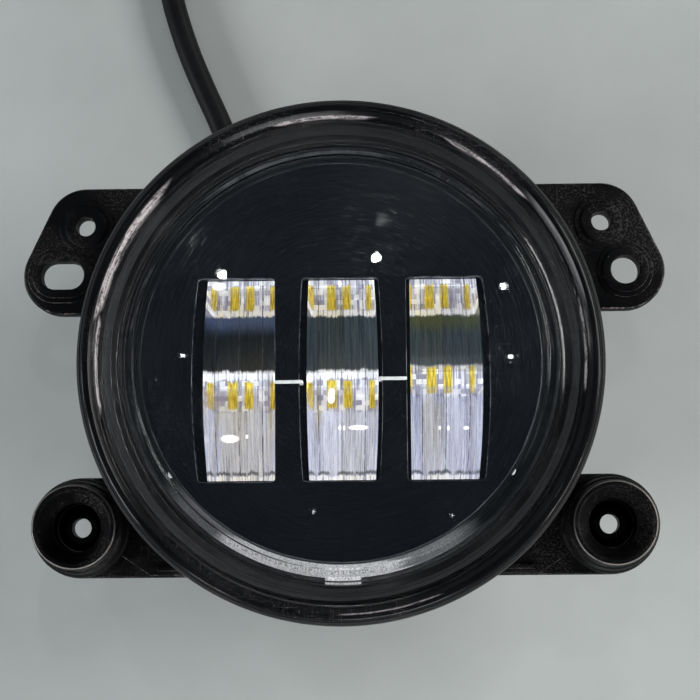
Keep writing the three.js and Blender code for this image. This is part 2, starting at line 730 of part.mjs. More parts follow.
// An angle plate: its foot is screwed to the floor, and its upright part holds a row of LEDs.
function ledPlate(y, top, tongueTop, holePlaces) {
  const half = plateHalfWidth;
  const tongue = tongueHalfWidth;
  const wall = upright(
    outline([
      [-half, plateBottom],
      [half, plateBottom],
      [half, top],
      [tongue, top],
      [tongue, tongueTop],
      [-tongue, tongueTop],
      [-tongue, top],
      [-half, top],
    ]),
    y - PLATE_THICKNESS,
    y,
  );
  const footTop = plateBottom + FOOT_THICKNESS;
  const foot = block(-half, half, y - 0.5, y + FOOT_LENGTH, plateBottom, footTop);
  const holes = holePlaces.map((place) => rod(plateScrewHole, plateBottom - 1, footTop + 1, ...place));
  return trimmed(cut(join(wall, foot), ...holes));
}

function thermalPad(y, holePlaces) {
  const half = plateHalfWidth - 1;
  const bottom = floorLevel + FIT;
  const top = bottom + THERMAL_PAD_THICKNESS;
  const pad = block(-half, half, y - PLATE_THICKNESS, y + FOOT_LENGTH - 0.5, bottom, top);
  const holes = holePlaces.map((place) => rod(plateScrewHole, bottom - 1, top + 1, ...place));
  return trimmed(cut(pad, ...holes));
}

function ledBoard(face, ledLevel) {
  const low = ledLevel - LED_BOARD_HEIGHT / 2;
  const back = face + LED_BOARD_THICKNESS;
  return trimmed(block(-boardHalfWidth, boardHalfWidth, face, back, low, low + LED_BOARD_HEIGHT));
}

// An LED package that faces -Y, with two dies side by side. Its origin is the middle of its back.
function ledPackage() {
  const halfWidth = LED_WIDTH / 2;
  const halfHeight = LED_HEIGHT / 2;
  const base = block(-halfWidth, halfWidth, -LED_BASE_THICKNESS, 0, -halfHeight, halfHeight);
  const front = -LED_BASE_THICKNESS - DIE_THICKNESS;
  const dies = [-1, 1].map((side) => {
    const x = (side * LED_WIDTH) / 4;
    return block(x - DIE_SIZE / 2, x + DIE_SIZE / 2, front, -0.1, -DIE_SIZE * 0.65, DIE_SIZE * 0.65);
  });
  return join(base, ...dies);
}

// A pan-head screw that points down, with its origin under the head.
function screw(diameter, length) {
  const shank = diameter / 2;
  const head = diameter * 0.95;
  const tall = diameter * 0.6;
  return turned(
    [
      [0, -length],
      [shank - 0.3, -length],
      [shank, 0.4 - length],
      [shank, 0],
      [head, 0],
      [head, tall * 0.6],
      [head * 0.6, tall],
      [0, tall],
    ],
    { segments: 8 },
  );
}

// ---------------------------------------------------------------- driver

function driverBoard() {
  const half = DRIVER_WIDTH / 2;
  const far = DRIVER_TOP_EDGE - DRIVER_LENGTH;
  const board = block(-half, half, far, DRIVER_TOP_EDGE, driverLevel, driverTop);
  const holes = driverPostPlaces().map((place) => {
    return rod(smallScrewHole, driverLevel - 1, driverTop + 1, ...place, 12);
  });
  return cut(board, ...holes);
}

function inductor() {
  const half = INDUCTOR_SIZE / 2;
  const c = 1.2;
  const shape = outline([
    [-half + c, -half],
    [half - c, -half],
    [half, -half + c],
    [half, half - c],
    [half - c, half],
    [-half + c, half],
    [-half, half - c],
    [-half, -half + c],
  ]);
  return slab(shape, 0, 5);
}

function capacitor() {
  const radius = CAPACITOR_DIAMETER / 2;
  const base = block(-radius, radius, -radius, radius, 0, 0.8);
  const profile = [[0, 0.5], [radius, 0.5], [radius, 6.8], [radius - 0.4, 7.2], [0, 7.2]];
  const can = turned(profile, { segments: 12 });
  return join(base, can);
}

// ---------------------------------------------------------------- strain relief, vent and cable

function cableGland() {
  const neck = GLAND_NECK_DIAMETER / 2;
  const flange = GLAND_FLANGE_DIAMETER / 2;
  const tip = cableRadius + 0.9;
  const ribs = [0, 1, 2].flatMap((i) => {
    const at = glandFlange + 3 + i * 3;
    const radius = neck + 0.6 - i * 0.4;
    return [[radius, at], [radius, at + 1.8], [radius - 1, at + 2], [radius - 1, at + 2.8]];
  });
  const profile = [
    [0, glandStart],
    [flange - 0.8, glandStart],
    [flange - 0.8, glandStart + 1.2],
    [neck, glandStart + 1.2],
    [neck, glandFlange],
    [flange, glandFlange],
    [flange, glandFlange + 1.6],
    [neck + 0.6, glandFlange + 3],
    ...ribs,
    [tip, glandTip - 0.6],
    [tip - 0.4, glandTip],
    [0, glandTip],
  ];
  return alongCable(turned(profile, { segments: 12 }));
}

function ventPlug() {
  const stem = VENT_DIAMETER / 2;
  const [x, y] = ventPlace();
  return turned(
    [
      [0, FIN_HEIGHT - 5],
      [4.2, FIN_HEIGHT - 5],
      [5, FIN_HEIGHT - 4],
      [5, FIN_HEIGHT - FIT],
      [stem, FIN_HEIGHT - FIT],
      [stem, floorLevel + FIT],
      [stem + 0.8, floorLevel + FIT],
      [stem, floorLevel + 2.2],
      [0, floorLevel + 2.2],
    ],
    { x, y, segments: 16 },
  );
}

// The route of the cable from the strain relief down to the ground and on to the coil.
const LEAD_ROUTE = [
  [-15.6, 30.9, 7.4],
  [-17.8, 35.6, 5.6],
  [-20.4, 41.0, 3.9],
  [-23.1, 47.2, 3.0],
  [-25.9, 54.1, CABLE_ON_GROUND],
  [-28.7, 61.4, CABLE_ON_GROUND],
  [-31.9, 68.6, CABLE_ON_GROUND],
  [-34.9, 75.8, CABLE_ON_GROUND],
  [-37.4, 83.0, CABLE_ON_GROUND],
  [-39.4, 90.3, CABLE_ON_GROUND],
  [-40.7, 98.0, CABLE_ON_GROUND],
  [-41.3, 106.0, CABLE_ON_GROUND],
  [-41.5, 114.0, CABLE_ON_GROUND],
  [-41.5, 120.5, CABLE_ON_GROUND],
];

function leadRoute() {
  const exit = polar(glandTip + FIT, CABLE_ANGLE);
  const straight = polar(glandTip + CABLE_DIAMETER * 0.6, CABLE_ANGLE);
  return [[...exit, CABLE_LEVEL], [...straight, CABLE_LEVEL - 0.2], ...LEAD_ROUTE];
}

function coilRing(margin = 0) {
  const [x, y] = COIL_CENTRE;
  return sleeve(coilInner - margin, coilOuter + margin, 0.1 - margin, coilTop + margin, { x, y });
}

function cableLead() {
  return cut(tube(leadRoute(), CABLE_DIAMETER, 10, 14), coilRing(FIT));
}

// The connector stands at the end of the tail, with its own origin at its back on the cable's axis.
const connectorBack = [
  COIL_CENTRE[0] + CONNECTOR_PLACE,
  COIL_CENTRE[1] + COIL_MEAN_RADIUS - turnPitch / 2,
  TAIL_LEVEL,
];

function cableTail() {
  const [x, y, z] = connectorBack;
  const start = COIL_CENTRE[0] + 4;
  const stops = [0, 0.25, 0.5, 0.75, 1].map((share) => [start + (x + 4 - start) * share, y, z]);
  return tube(stops, CABLE_DIAMETER, 10, 10);
}

// ---------------------------------------------------------------- connector

function roundedBox(x0, x1, halfWidth, halfHeight, corner) {
  const shape = new THREE.Shape();
  shape.absarc(halfWidth - corner, halfHeight - corner, corner, 0, Math.PI / 2, false);
  shape.absarc(corner - halfWidth, halfHeight - corner, corner, Math.PI / 2, Math.PI, false);
  shape.absarc(corner - halfWidth, corner - halfHeight, corner, Math.PI, 1.5 * Math.PI, false);
  shape.absarc(halfWidth - corner, corner - halfHeight, corner, 1.5 * Math.PI, 2 * Math.PI, false);
  return across(shape, x0, x1, 3);
}

const socketFloor = CONNECTOR_LENGTH - SOCKET_DEPTH;
const sealBore = cableRadius + 2;

function blade(y, margin) {
  const start = socketFloor - 5;
  const halfWidth = BLADE_WIDTH / 2 + margin;
  const halfThickness = BLADE_THICKNESS / 2 + margin;
  const end = start + BLADE_LENGTH + margin;
  return block(start - margin, end, y - halfWidth, y + halfWidth, -halfThickness, halfThickness);
}

function connectorBody() {
  const halfWidth = CONNECTOR_WIDTH / 2;
  const halfHeight = CONNECTOR_HEIGHT / 2 - 1.2;
  const shell = roundedBox(0, CONNECTOR_LENGTH, halfWidth, halfHeight, 3);
  const collar = roundedBox(socketFloor - 3, socketFloor - 0.5, halfWidth + 0.8, halfHeight + 1.2, 3);
  const ramp = block(
    CONNECTOR_LENGTH - 9,
    CONNECTOR_LENGTH - 5,
    -3,
    3,
    halfHeight - 0.5,
    halfHeight + 1.2,
  );
  const socket = roundedBox(
    socketFloor,
    CONNECTOR_LENGTH + 1,
    halfWidth - CONNECTOR_WALL,
    halfHeight - CONNECTOR_WALL,
    1.8,
  );
  const rearBore = rod(sealBore + FIT, -1, socketFloor - 5.5).rotateY(Math.PI / 2);
  const slots = [-BLADE_PITCH / 2, BLADE_PITCH / 2].map((y) => blade(y, FIT));
  return cut(join(shell, collar, ramp), socket, rearBore, ...slots);
}

function connectorSeal() {
  const inner = cableRadius + FIT;
  const seal = turned(
    [
      [inner, -5],
      [inner + 0.7, -5],
      [inner + 1, -1],
      [sealBore + 1.5, -1],
      [sealBore + 1.5, -FIT],
      [sealBore, -FIT],
      [sealBore, 5],
      [inner, 5],
      [inner, -5],
    ],
    { segments: 16 },
  );
  return seal.rotateY(Math.PI / 2);
}

// ---------------------------------------------------------------- assembly

add("housing", housing(), CAST_BLACK);
add("front_ring", frontRing(), GLOSS_BLACK);
add("lens", lens(), CLEAR);
add("lens_seal", lensSeal(), RUBBER);
add("mask", mask(), GLOSS_BLACK);
add("reflector_upper", reflector(upperCellStart, upperCellEnd), CHROME);
add("reflector_lower", reflector(lowerCellStart, lowerCellEnd), CHROME);

const upperLedLevel = cellVertex(upperCellStart, upperCellEnd) + REFLECTOR_FOCUS;
const lowerLedLevel = cellVertex(lowerCellStart, lowerCellEnd) + REFLECTOR_FOCUS;
const plateScrews = plateScrewPlaces();
const plateTop = reflectorFront - 0.5;
add("led_plate_upper", ledPlate(upperPlateY, plateTop, plateTop - 0.5, plateScrews.slice(2)), ALUMINIUM);
add("led_plate_middle", ledPlate(MIDDLE_PLATE_Y, plateTop, plateEdge, plateScrews.slice(0, 2)), ALUMINIUM);
add("thermal_pad_upper", thermalPad(upperPlateY, plateScrews.slice(2)), GREY_PAD);
add("thermal_pad_middle", thermalPad(MIDDLE_PLATE_Y, plateScrews.slice(0, 2)), GREY_PAD);
add("led_board_upper", ledBoard(upperBoardFace, upperLedLevel), WHITE_BOARD);
add("led_board_middle", ledBoard(lowerBoardFace, lowerLedLevel), WHITE_BOARD);

const ledRows = [[upperBoardFace, upperLedLevel], [lowerBoardFace, lowerLedLevel]];
ledRows.forEach(([face, level], row) => {
  windowCentres.forEach((x, column) => {
    const led = add(`led_${row * windowCentres.length + column + 1}`, ledPackage(), PHOSPHOR);
    led.position.set(x, face - 0.05, level);
  });
});

plateScrews.forEach(([x, y], i) => {
  const length = SCREW_DEPTH + THERMAL_PAD_THICKNESS + FOOT_THICKNESS + 2 * FIT;
  const fastener = add(`plate_screw_${i + 1}`, screw(PLATE_SCREW_DIAMETER, length), STEEL);
  fastener.position.set(x, y, plateBottom + FOOT_THICKNESS + FIT);
});

// These point up, through the tabs of the reflectors into the back of the mask.
reflectorScrewPlaces().forEach(([x, y], i) => {
  const length = SCREW_DEPTH + TAB_THICKNESS;
  const fastener = add(`reflector_screw_${i + 1}`, screw(SMALL_SCREW_DIAMETER, length), STEEL);
  fastener.position.set(x, y, tabBottom - FIT);
  fastener.rotation.x = Math.PI;
});

add("driver_board", driverBoard(), GREEN_BOARD);
driverPostPlaces().forEach(([x, y], i) => {
  const length = SCREW_DEPTH + DRIVER_THICKNESS;
  const fastener = add(`board_screw_${i + 1}`, screw(SMALL_SCREW_DIAMETER, length), STEEL);
  fastener.position.set(x, y, driverTop + FIT);
});
const driverRow = DRIVER_TOP_EDGE - DRIVER_LENGTH + 6;
add("inductor", inductor(), GREY_PAD).position.set(0, driverRow, driverTop + FIT);
[-1, 1].forEach((side, i) => {
  const can = add(`capacitor_${i + 1}`, capacitor(), ALUMINIUM);
  can.position.set(side * (INDUCTOR_SIZE / 2 + 5), driverRow, driverTop + FIT);
});
const chip = add("driver_chip", block(-3, 3, -2.5, 2.5, 0, 1.6), BLACK_PLASTIC);
chip.position.set(8, DRIVER_TOP_EDGE - 5, driverTop + FIT);

const wireTop = driverTop + WIRE_DIAMETER / 2 + FIT;
[[-1, RED_WIRE], [1, BLACK_WIRE]].forEach(([side, finish], i) => {
  const x = side * 2;
  const edge = DRIVER_TOP_EDGE;
  const route = [
    [x, -3.5, CABLE_LEVEL + 8],
    [x, -5, floorLevel - 4],
    [x, edge + 4.5, floorLevel + 1],
    [x, edge + 2.2, wireTop + 0.6],
    [x, edge - 1.5, wireTop],
  ];
  add(`supply_wire_${i + 1}`, tube(route, WIRE_DIAMETER, 6, 7), finish);
});

const wireUnderBoard = lowerLedLevel - LED_BOARD_HEIGHT / 2 - FIT;
const middleWire = [
  [10, DRIVER_TOP_EDGE - 1.2, wireTop],
  [13, DRIVER_TOP_EDGE + 2.5, wireTop + 0.5],
  [19, lowerBoardFace - 1.5, wireTop + 1],
  [21, lowerBoardFace - 0.2, wireTop + 2],
  [21.5, lowerBoardFace, wireUnderBoard],
];
add("led_wire_middle", tube(middleWire, WIRE_DIAMETER, 6, 7), RED_WIRE);

const outside = plateHalfWidth + 2.5;
const upperWire = [
  [-10, DRIVER_TOP_EDGE - 1.5, wireTop],
  [-18, DRIVER_TOP_EDGE + 2, wireTop + 0.4],
  [-27, lowerBoardFace - 3, wireTop + 1],
  [-outside, MIDDLE_PLATE_Y + 1, wireTop + 2.5],
  [-outside, upperCellStart - 7, upperLedLevel - 6],
  [1.2 - outside, upperBoardFace - 0.6, upperLedLevel - 2],
  [-boardHalfWidth - 2 * FIT, upperBoardFace + 0.1, upperLedLevel],
];
add("led_wire_upper", tube(upperWire, WIRE_DIAMETER, 6, 12), RED_WIRE);

add("vent_plug", ventPlug(), RUBBER);
add("cable_gland", cableGland(), RUBBER);
add("cable_lead", cableLead(), RUBBER);
add("cable_coil", coilRing(), RUBBER);
add("cable_tail", cableTail(), RUBBER);

const connector = new THREE.Group();
connector.position.set(...connectorBack);
lamp.add(connector);
add("connector_body", connectorBody(), BLACK_PLASTIC, connector);
add("connector_seal", connectorSeal(), RUBBER, connector);
add("connector_blade_1", blade(-BLADE_PITCH / 2, 0), BRASS, connector);
add("connector_blade_2", blade(BLADE_PITCH / 2, 0), BRASS, connector);

export default lamp;
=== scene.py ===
"""A 4-inch round LED fog lamp with a clear domed lens, lying on its cooling fins, with its lead and plug.

Lengths in the shape functions are millimetres in the lamp's own frame: +Z up through the lens, +X towards the
ears with the round locating hole, +Y towards the side where the cable leaves. They become metres in piece().
"""
import math

import bpy
import numpy as np
from mathutils import Matrix, Vector
from mathutils.geometry import tessellate_polygon


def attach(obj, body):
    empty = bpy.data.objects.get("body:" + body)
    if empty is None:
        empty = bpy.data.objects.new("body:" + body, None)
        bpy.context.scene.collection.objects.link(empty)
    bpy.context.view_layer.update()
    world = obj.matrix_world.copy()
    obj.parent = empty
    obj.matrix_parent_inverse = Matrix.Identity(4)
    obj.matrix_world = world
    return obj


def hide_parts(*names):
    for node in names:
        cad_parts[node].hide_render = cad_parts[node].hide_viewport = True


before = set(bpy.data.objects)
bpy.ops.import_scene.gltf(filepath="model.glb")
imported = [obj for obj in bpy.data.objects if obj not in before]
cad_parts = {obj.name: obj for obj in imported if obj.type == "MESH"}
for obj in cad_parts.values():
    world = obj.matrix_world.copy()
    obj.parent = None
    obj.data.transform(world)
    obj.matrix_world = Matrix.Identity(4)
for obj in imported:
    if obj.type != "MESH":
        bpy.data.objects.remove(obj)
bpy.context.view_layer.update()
MM = 0.001
TURN = 2 * math.pi

# ---------------------------------------------------------------- sizes shared with the frame, in millimetres

RIM_RADIUS = 49.3
GROOVE_RADIUS = 46.9
LENS_RADIUS = 46.4
MASK_RADIUS = 43.2
MASK_FOOT_RADIUS = 41.3
MASK_FACE_RADIUS = 38.9
CAVITY_RADIUS = 41.9
WALL_RADIUS = 45.3
FIN_RADIUS = 44.3
HUB_RADIUS = 14.0
HUB_BORE = 9.5

FIN_HEIGHT = 21.0
FLOOR_LEVEL = 25.0
EAR_LEVEL = 26.5
EAR_FACE = 30.0
PAD_LEVEL = 30.8
LEDGE_LEVEL = 45.7
MASK_BASE = 46.0
GROOVE_LEVEL = 50.0
SEAL_TOP = 51.3
REFLECTOR_FRONT = 52.2
MASK_FACE = 54.5
RIM_LEVEL = 56.3
RING_LEVEL = 60.0
LENS_TOP = 64.1
LENS_WALL = 2.4
LENS_RISE = 7.0

HOLE_CIRCLE = 62.6
SCREW_ANGLE = 30.4
LOCATING_ANGLE = 20.0
LOWER_ANGLE = -30.0
UPPER_EAR_RADIUS = 8.3
LOWER_EAR_RADIUS = 10.3
BOSS_TOP = 40.0
CABLE_ANGLE = 116.6
CABLE_LEVEL = 9.0
CABLE_RADIUS = 2.6

WINDOW_CENTRES = (-20.0, 0.0, 20.0)
WINDOW_WIDTH = 14.6
WINDOW_TOP = 16.0
WINDOW_BOTTOM = -23.2
UPPER_CELL = (14.9, -2.1)
LOWER_CELL = (-4.5, -22.9)
REFLECTOR_FOCUS = 5.0
# Where the facets of a cell meet, as shares of its width.
FACET_SEAMS = (0.16, 0.49, 0.82)
# How strongly the cells glow by themselves: a painted glow that stands in for the lamp light they reflect.
PAINTED_CELL_GLOW = 0.42
DOME_EDGE = 45.0

# The camera. The painted reflections on the cells are laid out for its eye.
EYE = (8.4, -39.0, 384.0)
AIM = (1.8, 2.1, 54.0)
ROLL_DEGREES = 0.45
FOCAL_LENGTH = 88.25
SENSOR_WIDTH = 36
# For each column of cells, where its left and right edges lie from the window's middle half way down, and
# how far each edge draws in by the top and the bottom.
CELL_EDGES = (((-6.7, 0.95), (7.3, 0.0)), ((-6.65, 0.45), (7.2, 0.7)), ((-6.6, 0.0), (7.35, 1.1)))
# Painted lamp glints on the facets: column and place across, share of the way down the window, and half
# sizes.
GLINTS = (
    ((0.36, 0.785), (0.13, 0.020)), ((0.60, 0.775), (0.020, 0.010)), ((1.46, 0.735), (0.020, 0.012)),
    ((1.52, 0.737), (0.018, 0.012)), ((1.72, 0.735), (0.14, 0.012)), ((2.40, 0.740), (0.020, 0.010)),
    ((2.52, 0.742), (0.018, 0.012)), ((2.77, 0.742), (0.040, 0.009)), ((1.35, 0.560), (0.045, 0.020)),
    ((1.34, 0.590), (0.050, 0.026)), ((1.48, 0.020), (0.025, 0.016)), ((0.17, 0.028), (0.10, 0.020)),
)


def polar(radius, degrees):
    """The point at a distance from the middle, in a direction counted from +X."""
    angle = math.radians(degrees)
    return radius * math.cos(angle), radius * math.sin(angle)


def fin_places():
    """Each fin's direction and its offset to the side: 18 spokes 18 degrees apart, and two fins side by side
    at the cable and at the vent."""
    spokes = [(CABLE_ANGLE + 18 * i, 0.0) for i in range(20) if i % 10]
    pairs = [(CABLE_ANGLE + 180 * i, side * 7.3) for i in range(2) for side in (-1, 1)]
    return spokes + pairs


# ---------------------------------------------------------------- camera


def camera():
    """Looks down on the lens from a little in front of the middle, turned by under half a degree."""
    place = Vector(EYE) * MM
    ahead = (Vector(AIM) * MM - place).normalized()
    right = ahead.cross(Vector((0, 1, 0))).normalized()
    up = right.cross(ahead)
    roll = math.radians(ROLL_DEGREES)
    across = math.cos(roll) * right - math.sin(roll) * up
    upward = math.cos(roll) * up + math.sin(roll) * right
    turn = Matrix((across, upward, -ahead)).transposed().to_4x4()
    data = bpy.data.cameras.new("camera")
    data.sensor_width = SENSOR_WIDTH
    data.lens = FOCAL_LENGTH
    view = bpy.data.objects.new("camera", data)
    view.matrix_world = Matrix.Translation(place) @ turn
    bpy.context.scene.collection.objects.link(view)
    bpy.context.scene.camera = view


camera()

# ---------------------------------------------------------------- shapes
# A shape is (points, quads, triangles, edge, uv). Edge is 1 on worn corners and 0 on flats, and uv is a
# number pair for each point.


def shape(points, quads=(), triangles=(), edge=None, uv=None):
    """Collects the arrays of one closed shape and turns its faces outwards."""
    points = np.asarray(points, float).reshape(-1, 3)
    quads = np.asarray(quads, int).reshape(-1, 4)
    triangles = np.asarray(triangles, int).reshape(-1, 3)
    edge = np.zeros(len(points)) if edge is None else np.asarray(edge, float).ravel()
    uv = np.zeros((len(points), 2)) if uv is None else np.asarray(uv, float).reshape(-1, 2)
    return outward((points, quads, triangles, edge, uv))


def outward(made):
    """Reverses every face where the signed volume, the sum over triangles of corner 1 . (corner 2 x corner 3)
    divided by six, is negative."""
    points, quads, triangles, edge, uv = made
    every = np.concatenate([quads[:, [0, 1, 2]], quads[:, [0, 2, 3]], triangles])
    a, b, c = (points[every[:, i]] for i in range(3))
    if np.einsum("ij,ij->i", a, np.cross(b, c)).sum() < 0:
        quads, triangles = quads[:, ::-1], triangles[:, ::-1]
    return points, quads, triangles, edge, uv


def grid_faces(rows, columns, wrap_rows, wrap_columns, start=0):
    """The quads between neighbouring points of a grid whose points are numbered row by row."""
    down = np.arange(rows if wrap_rows else rows - 1)
    along = np.arange(columns if wrap_columns else columns - 1)
    r, c = np.meshgrid(down, along, indexing="ij")
    r2, c2 = (r + 1) % rows, (c + 1) % columns
    corners = [r * columns + c, r * columns + c2, r2 * columns + c2, r2 * columns + c]
    return start + np.stack(corners, axis=-1).reshape(-1, 4)


def end_fans(rows, columns, first, last):
    """The triangles that join the first and the last row of a grid to a point each."""
    column = np.arange(columns)
    after = (column + 1) % columns
    far = (rows - 1) * columns
    start = np.stack([after, column, np.full(columns, first)], axis=-1)
    end = np.stack([far + column, far + after, np.full(columns, last)], axis=-1)
    return np.concatenate([start, end])


def joined(*shapes):
    """Several shapes as one, with the numbers of their faces moved on."""
    starts = np.cumsum([0] + [len(made[0]) for made in shapes[:-1]])
    return (
        np.concatenate([made[0] for made in shapes]),
        np.concatenate([made[1] + start for made, start in zip(shapes, starts)]),
        np.concatenate([made[2] + start for made, start in zip(shapes, starts)]),
        np.concatenate([made[3] for made in shapes]),
        np.concatenate([made[4] for made in shapes]),
    )


def moved(made, matrix):
    """A shape with its points multiplied by a 4 by 4 matrix."""
    points = made[0] @ np.array(matrix)[:3, :3].T + np.array(matrix)[:3, 3]
    return (points,) + tuple(made[1:])


def rubbed(made, factor):
    """A shape whose corners are worn more or less than usual."""
    points, quads, triangles, edge, uv = made
    return points, quads, triangles, np.clip(edge * factor, 0, 1), uv


def softened(corners, size=0.3, steps=4, closed=False):
    """A broken line with each corner rounded: the two points at a distance of size from the corner, never
    more than 0.4 of its stretch, are joined by the parabola that has the corner as its middle control
    point. Returns the points and their edge values, which are 1 in the middle of a rounded corner."""
    corners = np.asarray(corners, float)
    before = np.roll(corners, 1, axis=0)
    after = np.roll(corners, -1, axis=0)
    size = np.broadcast_to(np.asarray(size, float), len(corners))
    reach_in = np.minimum(size, 0.4 * np.linalg.norm(corners - before, axis=1))
    reach_out = np.minimum(size, 0.4 * np.linalg.norm(after - corners, axis=1))
    unit_in = (before - corners) / np.maximum(np.linalg.norm(before - corners, axis=1), 1e-9)[:, None]
    unit_out = (after - corners) / np.maximum(np.linalg.norm(after - corners, axis=1), 1e-9)[:, None]
    p0 = corners + unit_in * reach_in[:, None]
    p2 = corners + unit_out * reach_out[:, None]
    t = np.linspace(0, 1, steps + 1)[None, :, None]
    bends = (1 - t) ** 2 * p0[:, None] + 2 * t * (1 - t) * corners[:, None] + t**2 * p2[:, None]
    turn = 1 - np.einsum("ij,ij->i", -unit_in, unit_out)
    worn = np.sin(np.pi * np.linspace(0, 1, steps + 1))[None, :] * np.clip(turn, 0, 1)[:, None]
    if closed:
        return bends.reshape(-1, corners.shape[1]), worn.ravel()
    points = np.concatenate([corners[:1], bends[1:-1].reshape(-1, corners.shape[1]), corners[-1:]])
    return points, np.concatenate([[0], worn[1:-1].ravel(), [0]])


def turned(corners, size=0.3, segments=128, centre=(0, 0), steps=4):
    """A profile of [radius, height] carried round an upright axis. A profile that starts and ends on the
    axis has a single point at each pole; any other profile closes on itself."""
    corners = np.asarray(corners, float)
    poles = corners[0, 0] < 1e-6
    profile, edge = softened(corners, size, steps, closed=not poles)
    body = profile[1:-1] if poles else profile
    worn = edge[1:-1] if poles else edge
    angle = np.arange(segments) * TURN / segments
    points = np.stack(
        [
            centre[0] + body[:, :1] * np.cos(angle),
            centre[1] + body[:, :1] * np.sin(angle),
            np.broadcast_to(body[:, 1:], (len(body), segments)),
        ],
        axis=-1,
    ).reshape(-1, 3)
    edge = np.repeat(worn, segments)
    quads = grid_faces(len(body), segments, not poles, True)
    if not poles:
        return shape(points, quads, edge=edge)
    ends = [[*centre, profile[0, 1]], [*centre, profile[-1, 1]]]
    fans = end_fans(len(body), segments, len(points), len(points) + 1)
    return shape(np.concatenate([points, ends]), quads, fans, np.concatenate([edge, [0, 0]]))


def even(loop, spacing):
    """A closed line walked round in equal steps."""
    loop = np.asarray(loop, float)
    ring = np.concatenate([loop, loop[:1]])
    along = np.concatenate([[0], np.cumsum(np.linalg.norm(np.diff(ring, axis=0), axis=1))])
    count = max(12, int(round(along[-1] / spacing)))
    at = np.linspace(0, along[-1], count, endpoint=False)
    return np.stack([np.interp(at, along, ring[:, i]) for i in range(2)], axis=-1)


def inset(loop, distance):
    """A closed line that runs anticlockwise, with each point moved to its left by a distance."""
    ahead = np.roll(loop, -1, axis=0) - np.roll(loop, 1, axis=0)
    ahead /= np.maximum(np.linalg.norm(ahead, axis=1), 1e-9)[:, None]
    return loop + distance * np.stack([-ahead[:, 1], ahead[:, 0]], axis=-1)


def arc(centre, radius, start, end, count=24):
    """Points on a circle from one direction to another, in degrees."""
    angle = np.radians(np.linspace(start, end, count))
    return np.stack([centre[0] + radius * np.cos(angle), centre[1] + radius * np.sin(angle)], axis=-1)


def plate(outline, holes, bottom, top, size=0.4, bottom_size=0.2, spacing=0.4):
    """A flat piece with holes. Each outline is carried up a quarter circle at the bottom edge, straight up
    the side and round a quarter circle at the top edge, moving in by the circle's own depth; a hole moves
    the other way. Triangles close the flat faces."""
    turn = np.linspace(0, np.pi / 2, 5)
    low = [(bottom_size * (1 - math.sin(t)), bottom + bottom_size * (1 - math.cos(t))) for t in turn]
    high = [(size * (1 - math.cos(t)), top - size * (1 - math.sin(t))) for t in turn]
    section = np.array(low + high)
    worn = np.concatenate([np.zeros(5), np.sin(2 * turn) * 0.8 + 0.2])
    points, quads, edge, start, flats = [], [], [], 0, []
    for number, line in enumerate([outline, *holes]):
        loop = even(line, spacing)
        area = np.sum(loop[:, 0] * np.roll(loop[:, 1], -1) - np.roll(loop[:, 0], -1) * loop[:, 1])
        if (area < 0) != (number > 0):
            loop = loop[::-1]
        rows = np.stack([inset(loop, step) for step, _ in section])
        heights = np.broadcast_to(section[:, 1][:, None, None], rows.shape[:2] + (1,))
        points.append(np.concatenate([rows, heights], axis=-1).reshape(-1, 3))
        quads.append(grid_faces(len(section), len(loop), False, True, start))
        edge.append(np.repeat(worn, len(loop)))
        flats.append((start, start + (len(section) - 1) * len(loop), len(loop)))
        start += len(section) * len(loop)
    points = np.concatenate(points)
    triangles = []
    for side in (0, 1):
        loops = [points[line[side] : line[side] + line[2]] for line in flats]
        index = np.concatenate([np.arange(line[side], line[side] + line[2]) for line in flats])
        found = np.array(tessellate_polygon([[Vector(p) for p in loop] for loop in loops]))
        a, b, c = (points[index[found[:, i]]][:, :2] for i in range(3))
        up = (b[:, 0] - a[:, 0]) * (c[:, 1] - a[:, 1]) - (b[:, 1] - a[:, 1]) * (c[:, 0] - a[:, 0])
        wrong = up < 0 if side else up > 0
        found[wrong] = found[wrong][:, ::-1]
        triangles.append(index[found])
    return shape(points, np.concatenate(quads), np.concatenate(triangles), np.concatenate(edge))


def frames(path):
    """The direction of a path at each of its points, and two directions square to it and to each other."""
    ahead = np.gradient(path, axis=0)
    ahead /= np.linalg.norm(ahead, axis=1)[:, None]
    side = np.cross(ahead, [0.0, 0.0, 1.0])
    side /= np.maximum(np.linalg.norm(side, axis=1), 1e-6)[:, None]
    return ahead, side, np.cross(side, ahead)


def tube(path, radius, sides=20):
    """A circle carried square to a path, closed at both ends. The radius is one number or one for each
    point. Its uv holds the angle round the tube as a share of a turn, and the length along it."""
    path = np.asarray(path, float)
    radius = np.broadcast_to(np.asarray(radius, float), len(path))
    _, side, up = frames(path)
    angle = np.arange(sides) * TURN / sides
    ring = side[:, None] * np.cos(angle)[None, :, None] + up[:, None] * np.sin(angle)[None, :, None]
    points = (path[:, None] + ring * radius[:, None, None]).reshape(-1, 3)
    along = np.concatenate([[0], np.cumsum(np.linalg.norm(np.diff(path, axis=0), axis=1))])
    uv = np.stack([np.tile(angle / TURN, len(path)), np.repeat(along, sides)], axis=-1)
    quads = grid_faces(len(path), sides, False, True)
    fans = end_fans(len(path), sides, len(points), len(points) + 1)
    uv = np.concatenate([uv, [[0, 0], [0, along[-1]]]])
    return shape(np.concatenate([points, path[:1], path[-1:]]), quads, fans, uv=uv)


